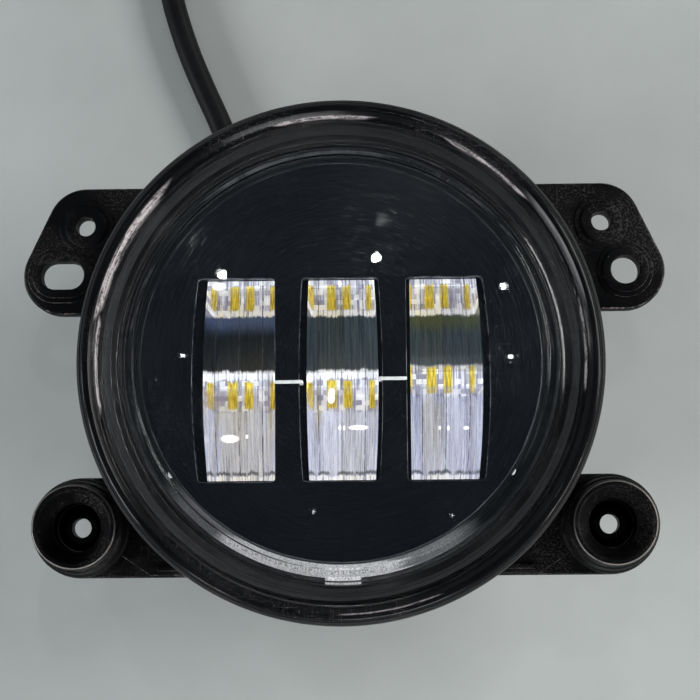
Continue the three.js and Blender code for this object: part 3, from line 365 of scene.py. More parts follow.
def smooth_path(points, spacing):
    """A Catmull-Rom curve through the points, walked in equal steps."""
    p = np.asarray(points, float)
    p = np.concatenate([2 * p[:1] - p[1:2], p, 2 * p[-1:] - p[-2:-1]])
    t = np.linspace(0, 1, 24, endpoint=False)[None, :, None]
    a, b, c, d = (p[i : len(p) - 3 + i, None] for i in range(4))
    curve = 0.5 * (2 * b + (c - a) * t + (2 * a - 5 * b + 4 * c - d) * t**2 + (3 * b - a - 3 * c + d) * t**3)
    curve = np.concatenate([curve.reshape(-1, 3), p[-2:-1]])
    along = np.concatenate([[0], np.cumsum(np.linalg.norm(np.diff(curve, axis=0), axis=1))])
    at = np.linspace(0, along[-1], max(4, int(round(along[-1] / spacing))))
    return np.stack([np.interp(at, along, curve[:, i]) for i in range(3)], axis=-1)


def bar(x0, x1, y0, y1, z0, z1, size=0.2):
    """A block with rounded upright edges and rounded rims."""
    width, depth = x1 - x0, y1 - y0
    corner = min(size * 1.5, 0.3 * min(width, depth))
    boxes = [(x1 - corner, y0 + corner, -90), (x1 - corner, y1 - corner, 0)]
    boxes += [(x0 + corner, y1 - corner, 90), (x0 + corner, y0 + corner, 180)]
    line = np.concatenate([arc((x, y), corner, turn, turn + 90, 6) for x, y, turn in boxes])
    size = min(size, 0.4 * (z1 - z0))
    return plate(line, [], z0, z1, size, size, spacing=max(0.25, (width + depth) / 60))


def piece(name, made, material, nodes=()):
    """Makes a Blender object from a shape, in metres, with its edge values, its uv and smooth faces."""
    points, quads, triangles, edge, uv = made
    mesh = bpy.data.meshes.new(name)
    mesh.vertices.add(len(points))
    mesh.vertices.foreach_set("co", (points * MM).ravel())
    corners = np.concatenate([quads.ravel(), triangles.ravel()])
    counts = np.concatenate([np.full(len(quads), 4), np.full(len(triangles), 3)])
    mesh.loops.add(len(corners))
    mesh.loops.foreach_set("vertex_index", corners)
    mesh.polygons.add(len(counts))
    mesh.polygons.foreach_set("loop_start", np.cumsum(counts) - counts)
    mesh.polygons.foreach_set("loop_total", counts)
    mesh.update(calc_edges=True)
    mesh.attributes.new("edge", "FLOAT", "POINT").data.foreach_set("value", edge)
    mesh.uv_layers.new(name="uv").data.foreach_set("uv", uv[corners].ravel())
    mesh.validate()
    made_object = bpy.data.objects.new(name, mesh)
    bpy.context.scene.collection.objects.link(made_object)
    bpy.context.view_layer.objects.active = made_object
    made_object.select_set(True)
    bpy.ops.object.shade_smooth_by_angle(angle=math.radians(35))
    made_object.select_set(False)
    mesh.materials.append(material)
    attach(made_object, "root")
    if nodes:
        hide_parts(*nodes)
    return made_object


# ---------------------------------------------------------------- shader nodes


class Net:
    """Adds nodes to one tree. A value given for a socket is a number, a colour, or another node's output."""

    def __init__(self, tree):
        self.tree = tree

    def node(self, kind, values=None, **settings):
        made = self.tree.nodes.new("ShaderNode" + kind)
        for name, value in settings.items():
            setattr(made, name, value)
        for name, value in (values or {}).items():
            self.put(made.inputs[name], value)
        return made

    def put(self, socket, value):
        if isinstance(value, bpy.types.NodeSocket):
            self.tree.links.new(value, socket)
        else:
            socket.default_value = value

    def give(self, label, value):
        """Sets an input of the material's Principled shader."""
        self.put(self.tree.nodes["Principled BSDF"].inputs[label], value)

    def math(self, operation, *values):
        made = self.node("Math", operation=operation)
        for socket, value in zip(made.inputs, values):
            self.put(socket, value)
        return made.outputs[0]

    def plus(self, a, b):
        return self.math("ADD", a, b)

    def minus(self, a, b):
        return self.math("SUBTRACT", a, b)

    def times(self, a, b):
        return self.math("MULTIPLY", a, b)

    def most(self, *values):
        """The largest of several values."""
        result = values[0]
        for value in values[1:]:
            result = self.math("MAXIMUM", result, value)
        return result

    def blend(self, factor, a, b):
        made = self.node("Mix", data_type="RGBA")
        self.put(made.inputs[0], factor)
        self.put(made.inputs[6], a)
        self.put(made.inputs[7], b)
        return made.outputs[2]

    def over(self, base, mask, share, colour):
        """A colour laid over a base where a mask is, as strongly as the share."""
        return self.blend(self.times(mask, share), base, (*colour, 1))

    def between(self, value, low, high, to_low=0.0, to_high=1.0):
        """A value's place between two levels, eased at both ends."""
        made = self.node("MapRange", interpolation_type="SMOOTHSTEP")
        for socket, number in zip(made.inputs, (value, low, high, to_low, to_high)):
            self.put(socket, number)
        return made.outputs[0]

    def noise(self, place, scale, detail=3.0, roughness=0.55):
        values = {"Vector": place, "Scale": scale, "Detail": detail, "Roughness": roughness}
        return self.node("TexNoise", values).outputs["Fac"]

    def stretched(self, place, scale):
        return self.node("Mapping", {"Vector": place, "Scale": scale}).outputs["Vector"]

    def place(self):
        return self.node("TexCoord").outputs["Object"]

    def bump(self, height, distance, strength):
        values = {"Height": height, "Distance": distance, "Strength": strength}
        return self.node("Bump", values).outputs["Normal"]


def effect(name, inputs, outputs, fill):
    """A node group with named number or vector inputs and named outputs, filled in by a function that gets
    the net and the input sockets and returns the outputs by name."""
    tree = bpy.data.node_groups.new(name, "ShaderNodeTree")
    for label, kind, value in inputs:
        socket = tree.interface.new_socket(label, in_out="INPUT", socket_type="NodeSocket" + kind)
        if value is not None:
            socket.default_value = value
    for label, kind in outputs:
        tree.interface.new_socket(label, in_out="OUTPUT", socket_type="NodeSocket" + kind)
    net = Net(tree)
    given = tree.nodes.new("NodeGroupInput")
    result = tree.nodes.new("NodeGroupOutput")
    for label, value in fill(net, given.outputs).items():
        net.put(result.inputs[label], value)
    return tree


def grain(net, given):
    """Fine pits of a moulded or coated surface: two noises of different scale, and dull blotches."""
    fine = net.noise(given["Place"], given["Scale"], 4.0)
    coarse = net.noise(given["Place"], net.times(given["Scale"], 0.2), 2.0)
    height = net.plus(net.times(fine, 0.65), net.times(coarse, 0.35))
    blotch = net.between(net.noise(given["Place"], 90.0, 3.0), 0.35, 0.7)
    return {"Height": height, "Blotch": blotch}


def wear(net, given):
    """Worn corners: the edge value of the mesh, broken up by noise, so that only parts of an edge shine."""
    edge = net.node("Attribute", attribute_name="edge").outputs["Fac"]
    broken = net.noise(given["Place"], given["Scale"], 5.0, 0.7)
    patch = net.noise(given["Place"], net.times(given["Scale"], 0.12), 2.0)
    much = net.times(edge, net.plus(broken, net.times(patch, 0.8)))
    low = net.minus(1.0, given["Amount"])
    return {"Mask": net.between(much, low, net.plus(low, 0.25))}


def scratches(net, given):
    """Hairlines in two crossing sets: noise drawn out ten to one, of which only the thin peaks are kept."""
    sets = []
    for angle, stretch in ((0.6, (1.0, 14.0, 1.0)), (-0.9, (12.0, 1.0, 1.0))):
        turn = net.node("Mapping", {"Vector": given["Place"], "Rotation": (0, 0, angle), "Scale": stretch})
        line = net.noise(turn.outputs["Vector"], given["Scale"], 1.0)
        sets.append(net.between(net.math("ABSOLUTE", net.minus(line, 0.5)), 0.0, 0.012, 1.0, 0.0))
    patch = net.between(net.noise(given["Place"], net.times(given["Scale"], 0.15), 2.0), 0.5, 0.62)
    return {"Mask": net.times(net.most(*sets), patch)}


def rings(net, given):
    """Swirls round the upright axis: noise that changes fast with the radius and slowly with the angle."""
    apart = net.node("SeparateXYZ", {"Vector": given["Place"]})
    x, y = apart.outputs[0], apart.outputs[1]
    radius = net.math("SQRT", net.plus(net.times(x, x), net.times(y, y)))
    safe = net.most(radius, 0.0001)
    round_x = net.times(net.math("DIVIDE", x, safe), 0.012)
    round_y = net.times(net.math("DIVIDE", y, safe), 0.012)
    lines = net.node("CombineXYZ", {0: net.times(radius, 6.0), 1: round_x, 2: round_y})
    fine = net.noise(lines.outputs[0], given["Scale"], 3.0, 0.65)
    return {"Radius": radius, "Height": fine, "Mask": net.between(fine, 0.56, 0.66)}


def dust(net, given):
    """Specks: the middles of the cells of a Voronoi pattern, kept where a noise is high."""
    cells = net.node("TexVoronoi", {"Vector": given["Place"], "Scale": given["Scale"]})
    speck = net.between(cells.outputs["Distance"], 0.05, 0.14, 1.0, 0.0)
    apart = net.node("SeparateColor", {"Color": cells.outputs["Color"]})
    few = net.between(apart.outputs[0], net.minus(1.0, given["Share"]), 1.0)
    return {"Mask": net.times(speck, few)}


PLACE = ("Place", "Vector", None)
GRAIN = effect("grain", [PLACE, ("Scale", "Float", 900.0)], [("Height", "Float"), ("Blotch", "Float")], grain)
WEAR = effect("wear", [PLACE, ("Scale", "Float", 400.0), ("Amount", "Float", 0.5)], [("Mask", "Float")], wear)
SCRATCHES = effect("scratches", [PLACE, ("Scale", "Float", 160.0)], [("Mask", "Float")], scratches)
RINGS = effect(
    "rings",
    [PLACE, ("Scale", "Float", 500.0)],
    [("Radius", "Float"), ("Height", "Float"), ("Mask", "Float")],
    rings,
)
DUST = effect("dust", [PLACE, ("Scale", "Float", 700.0), ("Share", "Float", 0.06)], [("Mask", "Float")], dust)


def started(name):
    """A new material with its net and its own Object coordinates."""
    material = bpy.data.materials.new(name)
    material.use_nodes = True
    net = Net(material.node_tree)
    return material, net, net.place()


def use(net, group, place, **values):
    made = net.node("Group", node_tree=group)
    net.put(made.inputs["Place"], place)
    for label, value in values.items():
        net.put(made.inputs[label], value)
    return made.outputs


# ---------------------------------------------------------------- finishes


def coated_casting():
    """Black powder coat with an orange-peel skin, speckled where it is rubbed and scuffed to bare metal along
    its edges."""
    material, net, place = started("powder_coat")
    skin = use(net, GRAIN, place, Scale=1500.0)
    worn = use(net, WEAR, place, Scale=2300.0, Amount=0.40)
    dull = net.between(net.noise(place, 85.0, 3.0, 0.6), 0.42, 0.60)
    speckle = net.between(net.noise(place, 2100.0, 4.0, 0.75), 0.50, 0.60)
    lines = use(net, SCRATCHES, place, Scale=170.0)
    specks = use(net, DUST, place, Scale=650.0, Share=0.05)
    net.give("Specular IOR Level", 0.09)
    base = net.blend(skin["Blotch"], (0.0024, 0.0026, 0.0032, 1), (0.0070, 0.0072, 0.0082, 1))
    base = net.blend(net.times(dull, speckle), base, (0.060, 0.053, 0.053, 1))
    base = net.over(base, lines["Mask"], 0.25, (0.11, 0.105, 0.10))
    base = net.over(base, specks["Mask"], 0.5, (0.25, 0.24, 0.22))
    base = net.over(base, worn["Mask"], 0.75, (0.34, 0.31, 0.29))
    net.give("Base Color", base)
    net.give("Metallic", net.times(worn["Mask"], 0.7))
    net.give("Roughness", net.between(skin["Height"], 0.3, 0.7, 0.36, 0.58))
    height = net.plus(skin["Height"], net.times(lines["Mask"], -0.6))
    net.give("Normal", net.bump(height, 0.00012, 0.8))
    return material


def strip(net, value, low, high, soft):
    """One where a value lies between two levels, with soft ends."""
    rise = net.between(value, low - soft, low + soft)
    return net.times(rise, net.between(value, high - soft, high + soft, 1.0, 0.0))


def painted_highlight_arc(net, place, radius, grit, heading, reach, inner, outer):
    """A grainy mask for a painted highlight on a ring between two radii. It is strongest in its heading and
    fades out where the distance along the heading falls short of the reach."""
    direction = (math.cos(math.radians(heading)), math.sin(math.radians(heading)), 0)
    along = net.node("VectorMath", {0: place, 1: direction}, operation="DOT_PRODUCT").outputs["Value"]
    near = net.between(along, reach * MM, (reach + 0.45 * (inner - reach)) * MM)
    band = strip(net, radius, inner * MM, outer * MM, 0.15 * MM)
    return net.times(net.times(near, band), grit)


def gloss_ring():
    """Gloss black moulding with turned swirls, a grained lower lip and scratched, silvery corners, and
    painted highlights in grainy patches on the bevel."""
    material, net, place = started("gloss_ring")
    turning = use(net, RINGS, place, Scale=900.0)
    skin = use(net, GRAIN, place, Scale=1800.0)
    worn = use(net, WEAR, place, Scale=700.0, Amount=0.5)
    lines = use(net, SCRATCHES, place, Scale=200.0)
    lip = net.between(turning["Radius"], 0.0498, 0.0501)
    net.give("Specular IOR Level", 0.17)
    base = net.blend(skin["Blotch"], (0.0035, 0.0038, 0.0045, 1), (0.006, 0.0062, 0.007, 1))
    grained = net.blend(skin["Height"], (0.006, 0.006, 0.007, 1), (0.022, 0.022, 0.023, 1))
    base = net.blend(lip, base, grained)
    marked = net.times(net.most(worn["Mask"], lines["Mask"]), 0.4)
    base = net.blend(marked, base, (0.20, 0.19, 0.20, 1))
    grit = net.plus(net.times(turning["Height"], 0.6), net.times(skin["Height"], 0.5))
    grit = net.between(grit, 0.46, 0.62, 0.12, 1.0)
    # Painted highlights: grainy silvery patches on the bevel, each given as heading, reach and radii.
    arcs = (
        (152.0, 44.9, 46.85, 47.85), (94.0, 46.1, 46.95, 47.4), (52.0, 46.1, 46.95, 47.35),
        (181.0, 45.9, 46.78, 47.1), (3.0, 46.0, 46.78, 47.05), (281.0, 47.3, 48.3, 48.5),
    )
    painted_highlights = [painted_highlight_arc(net, place, turning["Radius"], grit, *highlight_place) for highlight_place in arcs]
    base = net.blend(net.times(net.most(*painted_highlights), 0.9), base, (0.66, 0.60, 0.61, 1))
    net.give("Base Color", base)
    rough = net.between(turning["Height"], 0.35, 0.65, 0.10, 0.20)
    rough = net.plus(rough, net.times(lip, 0.2))
    net.give("Roughness", rough)
    height = net.plus(net.times(turning["Height"], 0.3), net.times(lip, skin["Height"]))
    net.give("Normal", net.bump(height, 0.00006, 0.6))
    return material


def gloss_mask():
    """Blue-black gloss moulding with faint swirls and dust."""
    material, net, place = started("gloss_mask")
    turning = use(net, RINGS, place, Scale=420.0)
    skin = use(net, GRAIN, place, Scale=500.0)
    specks = use(net, DUST, place, Scale=500.0, Share=0.05)
    worn = use(net, WEAR, place, Scale=300.0, Amount=0.3)
    net.give("Specular IOR Level", 0.08)
    base = net.blend(skin["Blotch"], (0.0032, 0.0042, 0.0058, 1), (0.0048, 0.0060, 0.0076, 1))
    base = net.over(base, specks["Mask"], 0.35, (0.16, 0.18, 0.20))
    base = net.over(base, worn["Mask"], 0.40, (0.42, 0.43, 0.46))
    net.give("Base Color", base)
    net.give("Roughness", net.between(turning["Height"], 0.3, 0.7, 0.24, 0.32))
    net.give("Normal", net.bump(turning["Height"], 0.000002, 0.4))
    return material


def satin_wall():
    """The mask's side wall and flange: satin grey-black with turned grooves and silvery scuffs. The lowest
    stretch of the side wall and the tab carry a painted highlight, and the middle of it a painted glow."""
    material, net, place = started("satin_wall")
    turning = use(net, RINGS, place, Scale=300.0)
    lines = use(net, SCRATCHES, place, Scale=120.0)
    worn = use(net, WEAR, place, Scale=350.0, Amount=0.7)
    net.give("Specular IOR Level", 0.22)
    base = net.blend(turning["Mask"], (0.014, 0.018, 0.020, 1), (0.026, 0.030, 0.033, 1))
    marked = net.times(net.most(worn["Mask"], lines["Mask"]), 0.6)
    base = net.blend(marked, base, (0.5, 0.5, 0.53, 1))
    # Painted highlight on the lowest stretch of the side wall and on the tab.
    grit = net.between(net.noise(place, 3200.0, 3.0, 0.7), 0.36, 0.60, 0.45, 1.0)
    bright = painted_highlight_arc(net, place, turning["Radius"], grit, 262.0, 26.0, 38.95, 43.3)
    tab = net.times(net.between(turning["Radius"], 0.0414, 0.0416, 1.0, 0.0), bright)
    apart = net.node("SeparateXYZ", {"Vector": place})
    beside = net.between(net.math("ABSOLUTE", apart.outputs[0]), 0.0034, 0.0036, 1.0, 0.0)
    bright = net.most(tab, net.times(beside, bright))
    base = net.over(base, bright, 0.95, (0.84, 0.83, 0.86))
    net.give("Base Color", base)
    # Painted glow: the middle of the painted highlight glows by itself.
    painted_glow = painted_highlight_arc(net, place, turning["Radius"], net.times(grit, bright), 261.0, 35.8, 38.95, 43.3)
    net.give("Emission Color", net.blend(painted_glow, (0, 0, 0, 1), (0.50, 0.50, 0.51, 1)))
    net.give("Emission Strength", 1.0)
    net.give("Metallic", net.times(marked, 0.8))
    net.give("Roughness", net.between(turning["Height"], 0.3, 0.7, 0.28, 0.42))
    net.give("Normal", net.bump(turning["Height"], 0.00008, 0.6))
    return material


def clear_lens():
    """Clear polycarbonate with swirl scratches. Light that goes to a shadow passes straight through."""
    material, net, place = started("clear_lens")
    turning = use(net, RINGS, place, Scale=650.0)
    lines = use(net, SCRATCHES, place, Scale=150.0)
    specks = use(net, DUST, place, Scale=420.0, Share=0.06)
    net.give("Base Color", (0.97, 0.985, 0.99, 1))
    net.give("Transmission Weight", 1.0)
    net.give("IOR", 1.5)
    marks = net.most(lines["Mask"], specks["Mask"])
    rough = net.plus(0.012, net.times(marks, 0.2))
    net.give("Roughness", net.plus(rough, net.times(turning["Mask"], 0.03)))
    height = net.plus(net.times(turning["Height"], 0.5), net.times(marks, -0.8))
    net.give("Normal", net.bump(height, 0.000004, 0.4))
    swirls = net.most(marks, net.times(turning["Mask"], 0.5))
    net.give("Coat Weight", net.times(swirls, 0.7))
    net.give("Coat Roughness", 0.22)
    clear = net.node("BsdfTransparent", {"Color": (0.93, 0.95, 0.96, 1)})
    shadow = net.node("LightPath").outputs["Is Shadow Ray"]
    nodes = material.node_tree.nodes
    solid = nodes["Principled BSDF"].outputs[0]
    both = net.node("MixShader", {0: shadow, 1: solid, 2: clear.outputs[0]})
    net.put(nodes["Material Output"].inputs["Surface"], both.outputs[0])
    return material


def painted_die_reflections(net, across, down):
    """Painted reflections of the yellow dies as the facets would mirror them: tall columns under the head of
    each row of cells.
    """
    columns = ((0.10, 0.045), (0.41, 0.070), (0.635, 0.062), (0.97, 0.040))
    across = net.most(*[strip(net, across, at - half, at + half, 0.014) for at, half in columns])
    rows = ((0.030, 0.150), (0.505, 0.640))
    down = net.most(*[strip(net, down, low, high, 0.008) for low, high in rows])
    return net.times(across, down)


def glints(net, uv):
    """Painted lamp glints: bright ovals at the listed places."""
    painted_glint_spots = []
    for middle, half in GLINTS:
        away = net.node("VectorMath", {0: uv, 1: (*middle, 0)}, operation="SUBTRACT").outputs[0]
        share = (1 / half[0], 1 / half[1], 0)
        away = net.node("VectorMath", {0: away, 1: share}, operation="MULTIPLY").outputs[0]
        away = net.node("VectorMath", {0: away}, operation="LENGTH").outputs["Value"]
        painted_glint_spots.append(net.between(away, 0.75, 1.15, 1.0, 0.0))
    return net.most(*painted_glint_spots)


def painted_silver_streaks(net, streak, fine):
    """Painted reflections in drawn-out streaks on the bright metal, from near white to dark."""
    silver = net.blend(net.between(streak, 0.3, 0.7), (0.36, 0.38, 0.48, 1), (0.74, 0.77, 0.92, 1))
    bright = net.times(net.between(fine, 0.58, 0.70), 0.8)
    silver = net.blend(bright, silver, (0.97, 0.97, 1.0, 1))
    thin = net.times(net.between(fine, 0.28, 0.42, 1.0, 0.0), 0.75)
    return net.blend(thin, silver, (0.09, 0.09, 0.12, 1))


def painted_package_reflection(net, uv, streak):
    """The painted reflection of the white package, broken into small bright and dark tiles."""
    tiles = net.node("VectorMath", {0: uv, 1: (13.0, 40.0, 1.0)}, operation="MULTIPLY").outputs[0]
    tiles = net.node("VectorMath", {0: tiles}, operation="FLOOR").outputs[0]
    tile = net.node("TexWhiteNoise", {"Vector": tiles}, noise_dimensions="2D").outputs["Value"]
    white = net.blend(net.between(streak, 0.40, 0.60), (0.26, 0.25, 0.32, 1), (0.84, 0.84, 0.90, 1))
    white = net.blend(net.between(tile, 0.76, 0.84), white, (1.0, 1.0, 1.0, 1))
    return net.blend(net.between(tile, 0.14, 0.20, 1.0, 0.0), white, (0.30, 0.28, 0.36, 1))


def painted_mask_reflection(net, streak, down, first, last):
    """The painted reflection of the mask: near black in the first column, slate in the next, olive under the
    last dies.
    """
    slate = net.blend(net.between(streak, 0.35, 0.75), (0.026, 0.042, 0.056, 1), (0.075, 0.100, 0.125, 1))
    night = net.blend(net.times(first, 0.85), slate, (0.006, 0.008, 0.012, 1))
    tint = net.blend(first, (0.075, 0.090, 0.050, 1), (0.07, 0.10, 0.20, 1))
    share = net.times(net.most(first, last), net.between(down, 0.20, 0.29, 1.0, 0.0))
    return net.blend(share, night, tint)


def metallised():
    """Vacuum-metallised cells. In their uv the whole part counts the columns, the fraction is the place
    across the cell, and v runs from the top of the window to its bottom. The facets carry painted reflections
    of what they face, drawn out: yellow dies in a white package, then the dark mask, and streaks down to the
    rim, with painted highlights, painted glints and a painted glow."""
    material, net, _ = started("metallised")
    uv = net.node("UVMap", uv_map="uv").outputs[0]
    apart = net.node("SeparateXYZ", {"Vector": uv})
    level = apart.outputs[1]
    across, column = net.math("FRACT", apart.outputs[0]), net.math("FLOOR", apart.outputs[0])
    drift = net.noise(net.stretched(uv, (7.0, 3.0, 1.0)), 1.0, 2.0)
    ragged = net.noise(net.stretched(uv, (60.0, 14.0, 1.0)), 1.0, 2.0)
    streak = net.noise(net.stretched(uv, (36.0, 2.4, 1.0)), 1.0, 3.0, 0.7)
    fine = net.noise(net.stretched(uv, (120.0, 6.0, 1.0)), 1.0, 2.0, 0.6)

    # In the last column the lower row's painted reflections are seen higher up.
    first, last = net.between(column, 0.0, 1.0, 1.0, 0.0), net.between(column, 1.0, 2.0)
    raised = net.times(net.times(net.math("GREATER_THAN", level, 0.36), last), 0.068)
    waver = net.times(net.minus(drift, 0.5), 0.035)
    waver = net.plus(waver, net.times(net.minus(ragged, 0.5), 0.020))
    down = net.plus(net.plus(level, raised), waver)
    yellow = painted_die_reflections(net, net.plus(across, net.times(column, 0.06)), down)

    package = net.most(strip(net, down, -0.1, 0.165, 0.01), strip(net, down, 0.455, 0.655, 0.01))
    silver, tiles = painted_silver_streaks(net, streak, fine), painted_package_reflection(net, uv, streak)
    colour = net.blend(net.times(package, 0.85), silver, tiles)

    # Below the first dies the painted reflection of the mask, in the last column a little further down.
    further = net.times(strip(net, down, 0.440, 0.500, 0.008), last)
    dark = net.most(strip(net, down, 0.180, 0.452, 0.008), further)
    colour = net.blend(dark, colour, painted_mask_reflection(net, streak, down, first, last))
    # Painted highlights: thin white lines above and below the painted reflection of the mask.
    lower_edge_highlight = net.times(strip(net, down, 0.456, 0.496, 0.006), net.minus(1.0, last))
    edges = net.most(strip(net, down, 0.152, 0.180, 0.008), lower_edge_highlight)
    colour = net.blend(net.times(edges, net.between(streak, 0.36, 0.5)), colour, (0.97, 0.97, 1.0, 1))

    # The painted reflections of the dies in amber.
    amber = net.blend(net.between(ragged, 0.35, 0.65), (0.36, 0.25, 0.02, 1), (0.86, 0.68, 0.09, 1))
    colour = net.blend(yellow, colour, amber)
    # Painted shade: dark lines along the facet seams.
    seams = [strip(net, across, at - 0.006, at + 0.006, 0.006) for at in FACET_SEAMS]
    seams = net.times(net.most(*seams), net.between(ragged, 0.35, 0.50))
    colour = net.blend(seams, colour, (0.05, 0.05, 0.06, 1))

    # At the foot, a thin painted shadow above a painted white highlight on the rim.
    rolled = net.plus(level, net.times(waver, 1.2))
    shadow = net.times(strip(net, rolled, 0.950, 0.966, 0.006), net.between(drift, 0.35, 0.5))
    colour = net.blend(net.times(shadow, 0.8), colour, (0.03, 0.03, 0.035, 1))
    rim = net.times(net.between(rolled, 0.968, 0.974), net.between(streak, 0.4, 0.55))
    colour = net.blend(rim, colour, (1.0, 1.0, 1.0, 1))
    # Painted lamp glints in white.
    painted_glint_spots = glints(net, uv)
    colour = net.blend(painted_glint_spots, colour, (1.0, 1.0, 1.0, 1))
    painted = net.most(yellow, net.times(package, 0.75))
    height = net.plus(streak, net.times(fine, 0.4))
    # Painted glow: the cells glow by themselves, the painted glints most of all.
    net.give("Emission Strength", PAINTED_CELL_GLOW)
    net.give("Base Color", colour)
    net.give("Emission Color", net.blend(painted_glint_spots, colour, (2.4, 2.4, 2.5, 1)))
    net.give("Metallic", net.minus(1.0, painted))
    net.give("Roughness", net.between(streak, 0.3, 0.7, 0.22, 0.36))
    net.give("Normal", net.bump(height, 0.0001, 0.5))
    return material


def cable_jacket():
    """Satin black PVC with fine drawing lines along it and scuffs."""
    material, net, place = started("cable_jacket")
    uv = net.node("UVMap", uv_map="uv").outputs[0]
    drawn = net.noise(net.stretched(uv, (60.0, 0.05, 1.0)), 1.0, 2.0)
    skin = use(net, GRAIN, place, Scale=1400.0)
    specks = use(net, DUST, place, Scale=500.0, Share=0.07)
    net.give("Specular IOR Level", 0.14)
    base = net.blend(skin["Blotch"], (0.0045, 0.0048, 0.0058, 1), (0.0090, 0.0094, 0.0105, 1))
    base = net.over(base, specks["Mask"], 0.3, (0.2, 0.19, 0.18))
    net.give("Base Color", base)
    net.give("Roughness", net.between(drawn, 0.3, 0.7, 0.42, 0.56))
    height = net.plus(skin["Height"], net.times(drawn, 0.5))
    net.give("Normal", net.bump(height, 0.00005, 0.5))
    return material


def plain(name, dark, light, roughness, metallic=0.0, scale=900.0, brushed=None):
    """A moulded, cast or plated finish: two near colours in blotches over fine grain, worn corners, dust, and
    for metals fine lines drawn out along one axis."""
    material, net, place = started(name)
    skin = use(net, GRAIN, net.stretched(place, brushed) if brushed else place, Scale=scale)
    worn = use(net, WEAR, place, Scale=600.0, Amount=0.35)
    specks = use(net, DUST, place, Scale=600.0, Share=0.04)
    base = net.blend(skin["Blotch"], (*dark, 1), (*light, 1))
    pale = [min(1.0, 2.2 * c + 0.03) for c in light]
    base = net.over(base, worn["Mask"], 0.4, pale)
    base = net.over(base, specks["Mask"], 0.3, (0.45, 0.43, 0.40))
    net.give("Base Color", base)
    net.give("Metallic", metallic)
    rough = net.between(skin["Height"], 0.3, 0.7, roughness - 0.07, roughness + 0.07)
    net.give("Roughness", rough)
    net.give("Normal", net.bump(skin["Height"], 0.00004, 0.6))
    return material


def led_package():
    """White ceramic with two yellow phosphor dies that face the cell. The dies are told from the package by
    their place beside the middle of each window."""
    material, net, place = started("led_package")
    apart = net.node("SeparateXYZ", {"Vector": place})
    pitch = (WINDOW_CENTRES[1] - WINDOW_CENTRES[0]) * MM
    windows_along = net.plus(net.math("DIVIDE", apart.outputs[0], pitch), 0.5)
    column = net.minus(net.math("FRACT", windows_along), 0.5)
    beside = net.math("ABSOLUTE", net.minus(net.math("ABSOLUTE", column), 0.0675))
    die = net.between(beside, 0.048, 0.053, 1.0, 0.0)
    skin = use(net, GRAIN, place, Scale=3000.0)
    amber = net.blend(skin["Height"], (0.75, 0.48, 0.02, 1), (0.95, 0.74, 0.10, 1))
    white = net.blend(skin["Height"], (0.72, 0.71, 0.68, 1), (0.86, 0.85, 0.82, 1))
    net.give("Base Color", net.blend(die, white, amber))
    net.give("Roughness", net.between(skin["Height"], 0.3, 0.7, 0.35, 0.6))
    net.give("Normal", net.bump(skin["Height"], 0.00003, 0.5))
    return material


POWDER = coated_casting()
RING = gloss_ring()
MASK = gloss_mask()
WALL = satin_wall()
CLEAR = clear_lens()
MIRROR = metallised()
JACKET = cable_jacket()
PACKAGE = led_package()
RUBBER = plain("rubber", (0.006, 0.006, 0.007), (0.012, 0.012, 0.013), 0.62)
NYLON = plain("nylon", (0.011, 0.011, 0.012), (0.020, 0.020, 0.021), 0.42, scale=1600.0)
MILLED = plain("milled", (0.62, 0.63, 0.65), (0.80, 0.81, 0.83), 0.28, 1.0, brushed=(1.0, 8.0, 8.0))
CUT_EDGE = plain("cut_edge", (0.80, 0.80, 0.79), (0.97, 0.97, 0.96), 0.35, 0.15, brushed=(1.0, 9.0, 9.0))
ZINC = plain("zinc", (0.48, 0.49, 0.50), (0.66, 0.67, 0.68), 0.32, 1.0)
TIN = plain("tin", (0.62, 0.58, 0.50), (0.80, 0.76, 0.66), 0.25, 1.0, brushed=(1.0, 9.0, 9.0))
PAD = plain("pad", (0.24, 0.28, 0.33), (0.34, 0.39, 0.45), 0.8)
WHITE_BOARD = plain("white_board", (0.74, 0.74, 0.70), (0.86, 0.86, 0.83), 0.4)
GREEN_BOARD = plain("green_board", (0.010, 0.075, 0.030), (0.022, 0.14, 0.055), 0.35)
FERRITE = plain("ferrite", (0.035, 0.035, 0.038), (0.07, 0.07, 0.072), 0.55)
RED_SKIN = plain("red_skin", (0.32, 0.015, 0.012), (0.45, 0.03, 0.02), 0.38)
BLACK_SKIN = plain("black_skin", (0.012, 0.012, 0.013), (0.022, 0.022, 0.023), 0.38)


# ---------------------------------------------------------------- cable

COIL_CENTRE = (-12.8, 127.0)
CABLE_ON_GROUND = 2.7
TAIL_LEVEL = 8.6
CONNECTOR_BACK = (21.2, 150.3, 8.6)
GLAND_TIP = 27.4


def lead_points():
    """From the strain relief straight out, down to the ground and on to the coil."""
    exit_point = (*polar(GLAND_TIP + 0.3, CABLE_ANGLE), CABLE_LEVEL)
    straight = (*polar(GLAND_TIP + 3.12, CABLE_ANGLE), CABLE_LEVEL - 0.2)
    falling = [(-15.6, 30.9, 7.4), (-17.8, 35.6, 5.6), (-20.4, 41.0, 3.9), (-23.1, 47.2, 3.0)]
    lying = [
        (-25.9, 54.1), (-28.7, 61.4), (-31.9, 68.6), (-34.9, 75.8), (-37.4, 83.0),
        (-39.4, 90.3), (-40.7, 98.0), (-41.3, 106.0), (-41.5, 114.0), (-41.5, 120.5),
    ]
    return [exit_point, straight, *falling, *[(x, y, CABLE_ON_GROUND) for x, y in lying]]


